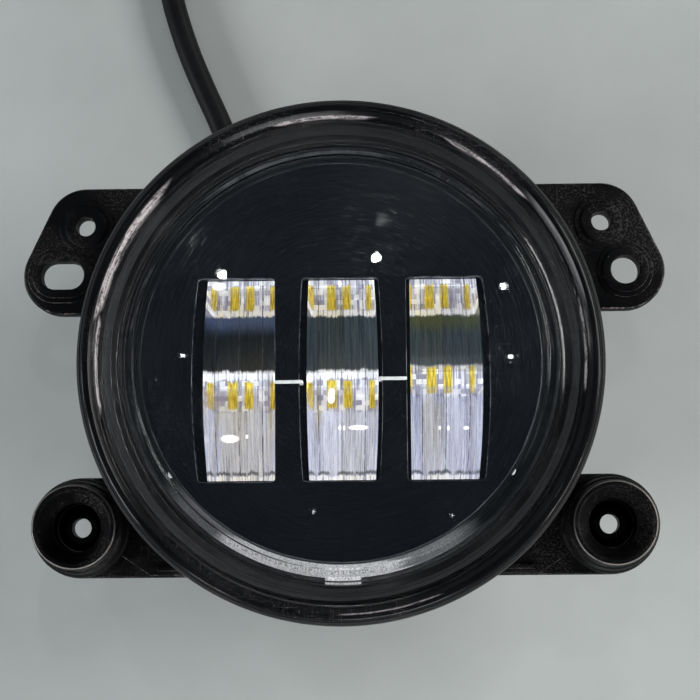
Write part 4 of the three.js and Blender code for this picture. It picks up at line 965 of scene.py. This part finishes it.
def coil_points():
    """One turn lying on the ground from radius 28.7 in to 23.3, then a quarter turn that climbs on to the
    outer turn and runs out to the north of the coil."""
    turn = np.linspace(0, 1, 25)[1:]
    angle = np.radians(180 - 360 * turn)
    radius = 28.7 - 5.4 * np.clip(turn * 1.15, 0, 1)
    flat = np.stack([radius * np.cos(angle), radius * np.sin(angle), np.full(24, CABLE_ON_GROUND)], axis=-1)
    climb = np.linspace(0, 1, 8)[1:]
    angle = np.radians(180 - 90 * climb)
    rise = CABLE_ON_GROUND + (TAIL_LEVEL - CABLE_ON_GROUND) * np.clip(1.25 * climb, 0, 1) ** 1.3
    top = np.stack([23.3 * np.cos(angle), 23.3 * np.sin(angle), rise], axis=-1)
    centre = np.array([*COIL_CENTRE, 0.0])
    return list(np.concatenate([flat, top]) + centre)


def tail_points():
    """Straight on at the upper level into the connector."""
    x, y, z = CONNECTOR_BACK
    return [(start, y, z) for start in np.linspace(COIL_CENTRE[0] + 6, x + 4, 5)]


def cable():
    """The whole lead as one tube along a smooth curve."""
    path = smooth_path([*lead_points(), *coil_points(), *tail_points()], 1.0)
    length = float(np.linalg.norm(np.diff(path, axis=0), axis=1).sum())
    lead = piece("cable", tube(path, CABLE_RADIUS, 28), JACKET,
                 ("cable_lead", "cable_coil", "cable_tail"))
    return lead, path * MM, length * MM


CABLE, CABLE_PATH, CABLE_LENGTH = cable()


def around_x(made, place):
    """A shape made about +Z, laid down so that its axis runs along +X from a place."""
    turn = Matrix(((0, 0, 1, 0), (0, 1, 0, 0), (-1, 0, 0, 0), (0, 0, 0, 1)))
    return moved(made, Matrix.Translation(place) @ turn)


def along_cable(made):
    """A shape made about +Z, laid in the direction in which the cable leaves the hub."""
    lay = Matrix.Translation((0, 0, CABLE_LEVEL)) @ Matrix.Rotation(math.radians(CABLE_ANGLE), 4, "Z")
    return moved(around_x(made, (0, 0, 0)), lay)


def strain_relief():
    """A rubber boot that tapers from its flange to the cable, with three ribs and a groove behind each."""
    profile = [
        (0, 6.2), (4.6, 6.2), (4.6, 7.4), (4.0, 7.5), (4.0, 14.4), (5.5, 14.5), (5.5, 16.0), (4.6, 17.2),
    ]
    for i in range(3):
        start, radius = 17.4 + 3 * i, 4.6 - 0.4 * i
        profile += [(radius, start), (radius, start + 1.6)]
        profile += [(radius - 1.0, start + 2.0), (radius - 1.0, start + 2.8)]
    profile += [(3.4, 26.6), (3.1, 27.35), (0, 27.35)]
    piece("strain_relief", along_cable(turned(profile, 0.35, 96)), RUBBER, ("cable_gland",))


def rounded_rectangle(half_width, half_height, corner):
    """Points round a rectangle with quarter circles at its corners."""
    places = [(1, -1, -90), (1, 1, 0), (-1, 1, 90), (-1, -1, 180)]
    arcs = [arc((sx * (half_width - corner), sy * (half_height - corner)), corner, turn, turn + 90, 14)
            for sx, sy, turn in places]
    return even(np.concatenate(arcs), 0.35)


def connector():
    """The housing's profile is carried round a rounded rectangle: [place along it, distance out from the
    rectangle]. It rises over a collar, folds round the mouth and goes down the socket to its floor."""
    x, y, z = CONNECTOR_BACK
    loop = rounded_rectangle(9.4, 6.9, 3.0)
    corners = [
        (0.0, -5.2), (0.0, -1.1), (1.6, -0.1), (10.6, 0.0), (11.0, 0.9), (13.4, 0.9), (13.7, 0.0),
        (28.6, 0.0), (29.2, -0.15), (30.0, -0.5), (30.0, -1.5), (28.8, -1.75), (14.1, -1.8), (14.0, -5.4),
    ]
    section, edge = softened(corners, 0.35, 4)
    rows = np.stack([inset(loop, -out) for _, out in section])
    heights = np.broadcast_to(section[:, :1, None], rows.shape[:2] + (1,))
    points = np.concatenate([rows, heights], axis=-1).reshape(-1, 3)
    count, wide = len(section), len(loop)
    quads = grid_faces(count, wide, False, True)
    ends = [[0, 0, section[0, 0]], [0, 0, section[-1, 0]]]
    fans = end_fans(count, wide, len(points), len(points) + 1)
    body = shape(np.concatenate([points, ends]), quads, fans, np.concatenate([np.repeat(edge, wide), [0, 0]]))
    body = moved(body, Matrix.Rotation(math.radians(90), 4, "Z"))
    body = around_x(body, CONNECTOR_BACK)
    ramp = bar(x + 21, x + 25, y - 3, y + 3, z + 6.4, z + 8.15, 0.5)
    rails = [bar(x + 14.5, x + 28, y + side - 0.5, y + side + 0.5, z + 6.3, z + 7.3, 0.3)
             for side in (-4.6, 4.6)]
    ribs = [bar(x + 2.6 + 1.7 * i, x + 3.4 + 1.7 * i, y + side - 0.45, y + side + 0.45, z - 4.2, z + 4.2, 0.2)
            for i in range(4) for side in (-9.3, 9.3)]
    body = joined(body, ramp, *rails, *ribs)
    made = piece("connector_shell", body, NYLON, ("connector_body",))
    seal = [
        (2.7, -5.0), (3.3, -5.0), (3.7, -3.6), (3.5, -3.0), (3.9, -1.2), (6.0, -1.0), (6.1, -0.4),
        (2.7, -0.3),
    ]
    boot = around_x(turned(seal, 0.3, 64), CONNECTOR_BACK)
    sleeve = piece("connector_boot", boot, RUBBER, ("connector_seal",))
    blades = []
    for number, side in ((1, -3.5), (2, 3.5)):
        blade = bar(x + 9.2, x + 25, y + side - 1.4, y + side + 1.4, z - 0.4, z + 0.4, 0.25)
        blades.append(piece(f"blade_{number}", blade, TIN, (f"connector_blade_{number}",)))
    return [made, sleeve, *blades]


strain_relief()
connector()

# ---------------------------------------------------------------- housing


def ear_line(side):
    """The upper ear's outline: circles round its two holes, the line that touches both, and two level
    lines that run in under the ring."""
    screw, locating = polar(HOLE_CIRCLE, SCREW_ANGLE), polar(HOLE_CIRCLE, LOCATING_ANGLE)
    lean = math.degrees(math.atan2(screw[1] - locating[1], screw[0] - locating[0])) - 90
    line = np.concatenate(
        [
            [[27.0, locating[1] - UPPER_EAR_RADIUS]],
            arc(locating, UPPER_EAR_RADIUS, -90, lean, 40),
            arc(screw, UPPER_EAR_RADIUS, lean, 90, 40),
            [[27.0, screw[1] + UPPER_EAR_RADIUS]],
        ]
    )
    return line * [side, 1]


def lower_ear_line(side):
    centre = polar(HOLE_CIRCLE, LOWER_ANGLE)
    line = np.concatenate(
        [
            [[20.4, centre[1] - LOWER_EAR_RADIUS]],
            arc(centre, LOWER_EAR_RADIUS, -90, 90, 60),
            [[20.4, centre[1] + LOWER_EAR_RADIUS]],
        ]
    )
    return line * [side, 1]


def stadium(centre, radius, stretch):
    """A long hole with round ends, along X."""
    ends = [arc((centre[0] + stretch / 2, centre[1]), radius, -90, 90, 40)]
    ends.append(arc((centre[0] - stretch / 2, centre[1]), radius, 90, 270, 40))
    return np.concatenate(ends)


def upper_ear(side):
    """A plate with two holes, a low land round the pair and a raised land round each hole. A turned skirt
    joins each land to the plate."""
    screw, locating = polar(HOLE_CIRCLE, SCREW_ANGLE), polar(HOLE_CIRCLE, LOCATING_ANGLE)
    screw, locating = (side * screw[0], screw[1]), (side * locating[0], locating[1])
    stretch = 3.0 if side < 0 else 0.0
    small, large = arc(screw, 2.0, 0, 360, 80)[:-1], stadium(locating, 3.0, stretch)
    base = plate(ear_line(side), [small, large], EAR_LEVEL, EAR_FACE, 0.7, 0.3, 0.35)
    steps = [
        plate(stadium(locating, 5.9, stretch), [large], EAR_FACE - 0.6, EAR_FACE + 0.32, 0.32, 0.1, 0.3),
        plate(stadium(locating, 4.9, stretch), [large], EAR_FACE - 0.6, PAD_LEVEL - 0.03, 0.35, 0.1, 0.3),
        turned([(2, 29.4), (2, 30.3), (5.6, 30.3), (5.9, 29.4)], 0.3, 96, screw),
        turned([(2, 29.4), (2, PAD_LEVEL), (4.3, PAD_LEVEL), (4.8, 29.4)], [0.1, 0.25, 0.5, 0.1], 96, screw),
    ]
    return rubbed(joined(base, *steps), 0.74)


def lower_ear(side):
    """A plate under a turned boss. The boss steps in twice, and its mouth narrows to the counterbore and
    then to the screw hole."""
    x, y = polar(HOLE_CIRCLE, LOWER_ANGLE)
    centre = (side * x, y)
    hole = arc(centre, 2.6, 0, 360, 80)[:-1]
    base = plate(lower_ear_line(side), [hole], EAR_LEVEL, EAR_FACE, 0.6, 0.3, 0.35)
    boss = [
        (2.0, EAR_LEVEL + 0.02), (2.0, EAR_FACE), (5.0, EAR_FACE), (5.0, 36.4), (5.5, 37.1),
        (7.2, BOSS_TOP - 0.25), (7.5, BOSS_TOP), (8.4, BOSS_TOP), (8.7, 38.9), (8.75, 36.2), (9.3, 35.8),
        (9.55, 32.0), (10.1, 31.4), (10.2, EAR_FACE - 0.4), (2.7, EAR_FACE - 0.4), (2.6, EAR_LEVEL + 0.02),
    ]
    sizes = [0.1, 0.1, 0.3, 0.3, 0.3, 0.4, 0.2, 0.5, 0.3, 0.3, 0.3, 0.4, 0.3, 0.1, 0.1, 0.1]
    web_line = np.array([[22, -41.2], [40, -41.2], [49, -35.0], [46, -24.0], [30, -24.0]]) * [side, 1]
    web = plate(web_line, [], EAR_FACE - 0.5, EAR_FACE + 0.5, 0.4, 0.1, 0.5)
    pocket = np.array([[30.5, -40.3], [38.6, -40.3], [38.6, -39.2], [30.5, -39.2]]) * [side, 1]
    rail = plate(pocket, [], EAR_FACE, EAR_FACE + 1.1, 0.3, 0.1, 0.3)
    return joined(rubbed(joined(base, web, rail), 0.74), rubbed(turned(boss, sizes, 128, centre), 1.9))


def upright_plate(corners, thickness, degrees, offset=0.0):
    """A rounded plate drawn as [radius, height] and stood up in a direction from the middle."""
    line, _ = softened(corners, 1.0, 4, closed=True)
    flat = plate(line, [], -thickness / 2, thickness / 2, 0.5, 0.5, 0.6)
    stand = Matrix(((1, 0, 0, 0), (0, 0, -1, offset), (0, 1, 0, 0), (0, 0, 0, 1)))
    return moved(flat, Matrix.Rotation(math.radians(degrees), 4, "Z") @ stand)


def cup():
    """The bowl with its hub, floor, wall, ledge and rim, as one turned profile, with a line of the casting
    mould round the wall."""
    profile = [
        (0, 0.02), (HUB_RADIUS - 0.6, 0.02), (HUB_RADIUS, 0.7), (HUB_RADIUS, FIN_HEIGHT),
        (43.3, FIN_HEIGHT), (WALL_RADIUS, 23.2), (WALL_RADIUS, 34.0), (WALL_RADIUS + 0.25, 34.2),
        (WALL_RADIUS + 0.25, 34.8), (WALL_RADIUS, 35.0), (WALL_RADIUS, 44.7),
        (RIM_RADIUS, GROOVE_LEVEL), (RIM_RADIUS, RIM_LEVEL),
        (GROOVE_RADIUS, RIM_LEVEL), (GROOVE_RADIUS, GROOVE_LEVEL), (43.5, GROOVE_LEVEL), (43.5, LEDGE_LEVEL),
        (CAVITY_RADIUS, LEDGE_LEVEL), (CAVITY_RADIUS, FLOOR_LEVEL), (HUB_BORE, FLOOR_LEVEL), (HUB_BORE, 3),
        (0, 3),
    ]
    return turned(profile, 0.35, 240)


def housing():
    """The casting: cup, fins, ears and the gussets under them."""
    fin = [(11.5, 0.05), (34.3, 0.05), (FIN_RADIUS, 10.0), (FIN_RADIUS, 21.6), (11.5, 21.6)]
    fins = [upright_plate(fin, 2.2, degrees, offset) for degrees, offset in fin_places()]
    gusset = [(44.3, 23.6), (46.3, 23.6), (56.4, 27.0), (44.3, 27.0)]
    gussets = [upright_plate(gusset, 2.2, degrees) for degrees in (25.4, 154.6, -30, 210)]
    ears = [part(side) for side in (-1, 1) for part in (upper_ear, lower_ear)]
    piece("casting", joined(cup(), *fins, *gussets, *ears), POWDER, ("housing",))


def front_ring():
    """The ring's profile: a grained lower lip, a fine groove, a chamfered shoulder, the gloss land, a small
    bevel and the inner wall."""
    profile = [
        (49.62, 50.25), (50.3, 50.2), (50.78, 50.6), (50.78, 56.9), (50.45, 57.3), (50.42, 57.8),
        (50.7, 58.0), (50.55, 58.5), (50.1, 59.0), (49.95, 58.85), (49.8, 59.3), (49.3, 59.75),
        (48.4, RING_LEVEL),
        (47.2, 58.9), (46.88, 58.2), (46.8, 56.65), (49.62, 56.6),
    ]
    sizes = [0.1, 0.2, 0.3, 0.3, 0.1, 0.1, 0.15, 0.3, 0.1, 0.08, 0.3, 0.5, 0.35, 0.4, 0.3, 0.1, 0.1]
    piece("bezel", turned(profile, sizes, 360), RING, ("front_ring",))


# ---------------------------------------------------------------- lens, seal and mask


def dome_level(radius, top):
    """The height of a sphere through the top and a circle of DOME_EDGE's radius LENS_RISE lower."""
    sphere = (DOME_EDGE**2 + LENS_RISE**2) / (2 * LENS_RISE)
    return top - sphere + np.sqrt(sphere**2 - np.asarray(radius, float) ** 2)


def lens():
    """The outside is the dome and a stepped shoulder. The inside follows it a wall lower, out to three
    shallow moulded rings, and comes down the skirt."""
    inner = np.linspace(0, 39.0, 40)
    inside = np.stack([inner, dome_level(inner, LENS_TOP - LENS_WALL)], axis=-1)
    steps = [(39.6, 0.0), (40.0, 0.16), (40.9, 0.16), (41.2, 0.0), (42.0, 0.0), (42.3, 0.16), (43.0, 0.16)]
    steps = np.array(steps)
    steps = np.stack([steps[:, 0], dome_level(steps[:, 0], LENS_TOP - LENS_WALL) - steps[:, 1]], axis=-1)
    skirt = [(44.2, 53.3), (44.2, SEAL_TOP + 0.3), (LENS_RADIUS, SEAL_TOP + 0.3), (LENS_RADIUS, 55.6)]
    shoulder = [(46.1, 56.3), (45.75, 56.75), (45.35, 56.85)]
    outer = np.linspace(DOME_EDGE, 0, 56)
    outside = np.stack([outer, dome_level(outer, LENS_TOP)], axis=-1)
    profile = np.concatenate([inside, steps, skirt, shoulder, outside])
    piece("dome", turned(profile, 0.12, 256, steps=2), CLEAR, ("lens",))


def seal():
    """A bead of sealant with a slack surface."""
    profile = [(43.8, 50.3), (46.6, 50.3), (46.65, 51.1), (45.2, SEAL_TOP), (43.85, 51.1)]
    piece("sealant", turned(profile, 0.3, 200), RUBBER, ("lens_seal",))


def window_line(centre, left_bulge, right_bulge, grow=0.0):
    """A window's outline: level top and bottom, parabolas for the sides that bow out, rounded corners. A
    straight side is a parabola without bow."""
    left, right = centre - WINDOW_WIDTH / 2 - grow, centre + WINDOW_WIDTH / 2 + grow
    low, high = WINDOW_BOTTOM - grow, WINDOW_TOP + grow
    t = np.linspace(-1, 1, 33)
    y = (low + high) / 2 + t * (high - low) / 2
    right_side = np.stack([right + right_bulge * (1 - t**2), y], axis=-1)
    left_side = np.stack([left - left_bulge * (1 - t**2), y], axis=-1)[::-1]
    sizes = np.zeros(66) + 0.05
    sizes[[0, 32, 33, 65]] = 1.5
    line = np.concatenate([right_side, left_side])
    line, _ = softened(line, sizes, 5, closed=True)
    return line


def windows(grow=0.0):
    left, middle, right = WINDOW_CENTRES
    return [
        window_line(left, 1.3, 0.0, grow),
        window_line(middle, 0.65, 0.65, grow),
        window_line(right, 0.0, 1.3, grow),
    ]


def mask():
    """The face is a disc with three windows. Its side wall leans out to a flange, and a tab at the bottom
    locates it. A black collar under each window closes the gap round the cells."""
    disc = arc((0, 0), MASK_FACE_RADIUS - 0.3, 0, 360, 360)[:-1]
    face = plate(disc, windows(), 52.5, MASK_FACE, 0.22, 0.1, 0.35)
    y = np.linspace(WINDOW_BOTTOM + 0.35, WINDOW_TOP - 0.2, 40)
    collars = []
    for column, line in enumerate(windows(0.7)):
        left, right = (np.stack([x, y], axis=-1) for x in cell_edges(column, y))
        collars.append(plate(line, [np.concatenate([right, left[::-1]])], 50.9, 51.4, 0.05, 0.05, 0.4))
    piece("mask_face", joined(face, *collars), MASK, ("mask",))
    wall = [
        (37.1, 52.45), (38.6, 54.0), (MASK_FACE_RADIUS, 53.7), (39.5, 51.8), (39.75, 51.6), (40.2, 49.9),
        (40.45, 49.7), (MASK_FOOT_RADIUS, 47.7), (41.9, 47.65), (42.0, 47.4), (42.5, 47.4), (42.6, 47.65),
        (MASK_RADIUS, 47.6), (MASK_RADIUS, MASK_BASE), (39.5, MASK_BASE),
    ]
    tab = bar(-3.3, 3.3, -42.9, -39.3, MASK_BASE, 48.8, 0.35)
    notch = [bar(x - 0.7, x + 0.7, -42.95, -41.2, MASK_BASE, 49.3, 0.25) for x in (-2.5, 2.5)]
    piece("mask_wall", joined(turned(wall, 0.2, 256), tab, *notch), WALL, ("mask",))


# ---------------------------------------------------------------- reflectors, LED plates and the inside


def seen(place, z, axis):
    """Where an x (axis 0) or y (axis 1) shows on the plane of the reflectors' front, on the line to the
    eye."""
    return EYE[axis] + (place - EYE[axis]) * (EYE[2] - REFLECTOR_FRONT) / (EYE[2] - z)


def cell_edges(column, y):
    """The left and right edges of a column of cells at each y: parabolas, widest half way down."""
    t = (y - (WINDOW_TOP + WINDOW_BOTTOM) / 2) / ((WINDOW_TOP - WINDOW_BOTTOM) / 2)
    (left, left_in), (right, right_in) = CELL_EDGES[column]
    return WINDOW_CENTRES[column] + left + left_in * t**2, WINDOW_CENTRES[column] + right - right_in * t**2


def cell(column, top, head, start, end):
    """One reflector cell. Along, a shelf runs from the window's edge to the head, a wall goes down in front
    of the LED, and from its foot the floor rises to the front as the parabola height = vertex + run squared
    over four times the focus. Across, side walls stand up to the front and each of four facets is dished by
    a parabola of its own."""
    vertex = REFLECTOR_FRONT - (start - end) ** 2 / (4 * REFLECTOR_FOCUS)
    brow, _ = softened([(top, REFLECTOR_FRONT), (head, REFLECTOR_FRONT - 0.7), (head, vertex)], 0.5, 6)
    drop = np.linspace(brow[-1], brow[-2], 16, endpoint=False)[::-1]
    rise = np.linspace(head, end, 80)
    floor = np.stack([rise, vertex + (start - rise) ** 2 / (4 * REFLECTOR_FOCUS)], axis=-1)
    y, level = np.concatenate([brow[:-1], drop[:-1], floor]).T
    u = np.linspace(0, 1, 121)
    seams = np.array([0.0, *FACET_SEAMS, 1.0])
    facet = np.clip(np.searchsorted(seams, u, side="right") - 1, 0, 3)
    inside = (u - seams[facet]) / (seams[facet + 1] - seams[facet]) * 2 - 1
    wall = np.clip((np.abs(u - 0.5) - 0.478) / 0.022, 0, 1) ** 2
    faded = np.clip((head - y) / 2, 0, 1)[:, None]
    level = level[:, None] + 0.28 * inside**2 * (1 - wall) * faded
    z = level + wall * np.maximum(REFLECTOR_FRONT - level, 0)
    left, right = cell_edges(column, y)
    x = left[:, None] + (right - left)[:, None] * u
    depth = (WINDOW_TOP - seen(y, level[:, 0], 1)) / (WINDOW_TOP - WINDOW_BOTTOM)
    across = (seen(x, z, 0) - left[:, None]) / (right - left)[:, None]
    uv = np.stack(np.broadcast_arrays(column + np.clip(across, 0.002, 0.998), depth[:, None]), axis=-1)
    return closed_sheet(np.stack(np.broadcast_arrays(x, y[:, None], z), axis=-1), uv, (0, 0.1, -0.6))


def closed_sheet(points, uv, thickness):
    """A sheet with a wall: its grid, the same grid moved by the thickness, and quads that join the two
    round the border."""
    rows, columns = points.shape[:2]
    below = points + thickness
    top = grid_faces(rows, columns, False, False)
    bottom = grid_faces(rows, columns, False, False, rows * columns)[:, ::-1]
    index = np.arange(rows * columns).reshape(rows, columns)
    border = np.concatenate([index[0], index[1:, -1], index[-1, -2::-1], index[-2:0:-1, 0]])
    after = np.roll(border, -1)
    down = rows * columns
    rim = np.stack([after, border, border + down, after + down], axis=-1)
    both = np.concatenate([points.reshape(-1, 3), below.reshape(-1, 3)])
    return shape(both, np.concatenate([top, bottom, rim]), uv=np.concatenate([uv.reshape(-1, 2)] * 2))


def reflectors():
    """Two rows of three cells, each row with a flange behind the mask."""
    rows = (("reflector_row_upper", (15.9, 14.45, *UPPER_CELL), "reflector_upper"),
            ("reflector_row_lower", (-2.15, -4.95, *LOWER_CELL), "reflector_lower"))
    for name, (top, head, start, end), node in rows:
        cells = [cell(column, top, head, start, end) for column in range(3)]
        places = ((-10, 1.8), (10, 1.8), (-31.2, 2.2), (31.2, 2.2))
        flanges = [bar(x - half, x + half, end + 0.7, start, 50.9, 52.1, 0.2) for x, half in places]
        piece(name, joined(*cells, *flanges), MIRROR, (node,))


def middle_plate():
    """The plate between the rows. Its tongues reach just through the slits of the mask, where their cut
    edges show on both ribs."""
    slits = ((-10, -4.1), (10, -3.6))
    tongues = [bar(x - 2.7, x + 2.7, y - 0.36, y + 0.36, 50, MASK_FACE + 0.06, 0.15) for x, y in slits]
    wall = bar(-29.9, 29.9, -3.1, -2.1, 26.3, 50.6, 0.15)
    foot = bar(-29.9, 29.9, -2.6, 7.9, 26.3, 27.7, 0.3)
    piece("middle_plate", joined(wall, foot), MILLED, ("led_plate_middle",))
    piece("plate_tongues", joined(*tongues), CUT_EDGE, ("led_plate_middle",))


def inner_finishes():
    """Gives the CAD pieces inside the lamp their finishes."""
    finishes = {
        "led_plate_upper": MILLED,
        "driver_board": GREEN_BOARD,
        "inductor": FERRITE,
        "driver_chip": NYLON,
        "supply_wire_1": RED_SKIN,
        "supply_wire_2": BLACK_SKIN,
        "led_wire_middle": RED_SKIN,
        "led_wire_upper": RED_SKIN,
        "vent_plug": RUBBER,
    }
    finishes.update({f"thermal_pad_{row}": PAD for row in ("upper", "middle")})
    finishes.update({f"led_board_{row}": WHITE_BOARD for row in ("upper", "middle")})
    finishes.update({f"led_{number}": PACKAGE for number in range(1, 7)})
    finishes.update({f"capacitor_{number}": MILLED for number in (1, 2)})
    for place in ("plate", "reflector", "board"):
        finishes.update({f"{place}_screw_{number}": ZINC for number in range(1, 5)})
    for name, material in finishes.items():
        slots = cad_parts[name].data.materials
        slots.clear()
        slots.append(material)


housing()
front_ring()
lens()
seal()
mask()
reflectors()
middle_plate()
inner_finishes()

# ---------------------------------------------------------------- floor and light


def floor():
    """A plain pale floor under the lamp, faintly mottled."""
    material, net, place = started("floor")
    mottle = net.noise(place, 60.0, 4.0)
    net.give("Base Color", net.blend(mottle, (0.56, 0.595, 0.58, 1), (0.65, 0.685, 0.67, 1)))
    net.give("Roughness", 0.9)
    mesh = bpy.data.meshes.new("floor")
    mesh.from_pydata([(-3, -3, 0), (3, -3, 0), (3, 3, 0), (-3, 3, 0)], [], [(0, 1, 2, 3)])
    mesh.materials.append(material)
    ground = bpy.data.objects.new("floor", mesh)
    bpy.context.scene.collection.objects.link(ground)


def area_light(name, place, width, height, power, colour=(1, 1, 1), aim=(0, 0, 0.04), disc=False):
    """A flat light of a width and a height in metres that faces its aim."""
    data = bpy.data.lights.new(name, "AREA")
    data.shape = "DISK" if disc else "RECTANGLE"
    data.size = width
    if not disc:
        data.size_y = height
    data.energy = power
    data.color = colour
    light = bpy.data.objects.new(name, data)
    place = Vector(place)
    turn = (place - Vector(aim)).to_track_quat("Z", "Y").to_matrix().to_4x4()
    light.matrix_world = Matrix.Translation(place) @ turn
    bpy.context.scene.collection.objects.link(light)


def sky():
    """A dim blue-grey room overhead that grows brighter towards the walls."""
    world = bpy.data.worlds.new("room")
    bpy.context.scene.world = world
    world.use_nodes = True
    net = Net(world.node_tree)
    direction = net.node("TexCoord").outputs["Generated"]
    height = net.node("SeparateXYZ", {"Vector": direction}).outputs[2]
    wall = net.between(height, 0.10, 0.80, 1.0, 0.0)
    colour = net.blend(wall, (0.035, 0.044, 0.055, 1), (0.34, 0.36, 0.37, 1))
    background = world.node_tree.nodes["Background"]
    net.put(background.inputs["Color"], colour)
    background.inputs["Strength"].default_value = 1.0


def lights():
    """Wide soft lights low on all sides, which the dome doesn't mirror to the eye, and small ceiling lamps,
    which it does."""
    area_light("side_right", (0.95, 0.35, 0.62), 0.7, 0.4, 7.0, (1.0, 0.985, 0.96))
    area_light("side_front", (0.25, -1.1, 0.45), 0.6, 0.3, 3.6, (0.97, 0.99, 1.0))
    area_light("side_left", (-1.0, -0.35, 0.5), 0.5, 0.3, 5.5, (0.96, 0.98, 1.0))
    area_light("low_right", (0.90, -0.44, 0.30), 0.30, 0.10, 2.2, (1.0, 0.95, 0.93))
    area_light("low_left", (-0.60, -0.86, 0.28), 0.20, 0.10, 1.2, (1.0, 0.97, 0.95))
    area_light("low_east", (1.1, 0.0, 0.24), 0.16, 0.08, 0.8)
    area_light("low_west", (-1.1, 0.02, 0.24), 0.14, 0.08, 0.7)
    lamps = (
        ((-0.471, 0.457, 1.083), 0.034, 0.40),
        ((0.112, 0.519, 1.148), 0.034, 0.45),
        ((0.585, 0.404, 1.050), 0.026, 0.12),
        ((-0.627, 0.153, 1.091), 0.014, 0.03),
        ((0.618, 0.138, 1.099), 0.016, 0.05),
        ((-0.138, -0.458, 1.174), 0.012, 0.006),
        ((0.395, -0.470, 1.111), 0.012, 0.006),
    )
    for number, (place, width, power) in enumerate(lamps, 1):
        area_light(f"lamp_{number}", place, width, width, power, (0.98, 1.0, 1.0), (0, 0, 0.06), disc=True)


floor()
sky()
lights()
bpy.context.scene.view_settings.view_transform = "Standard"
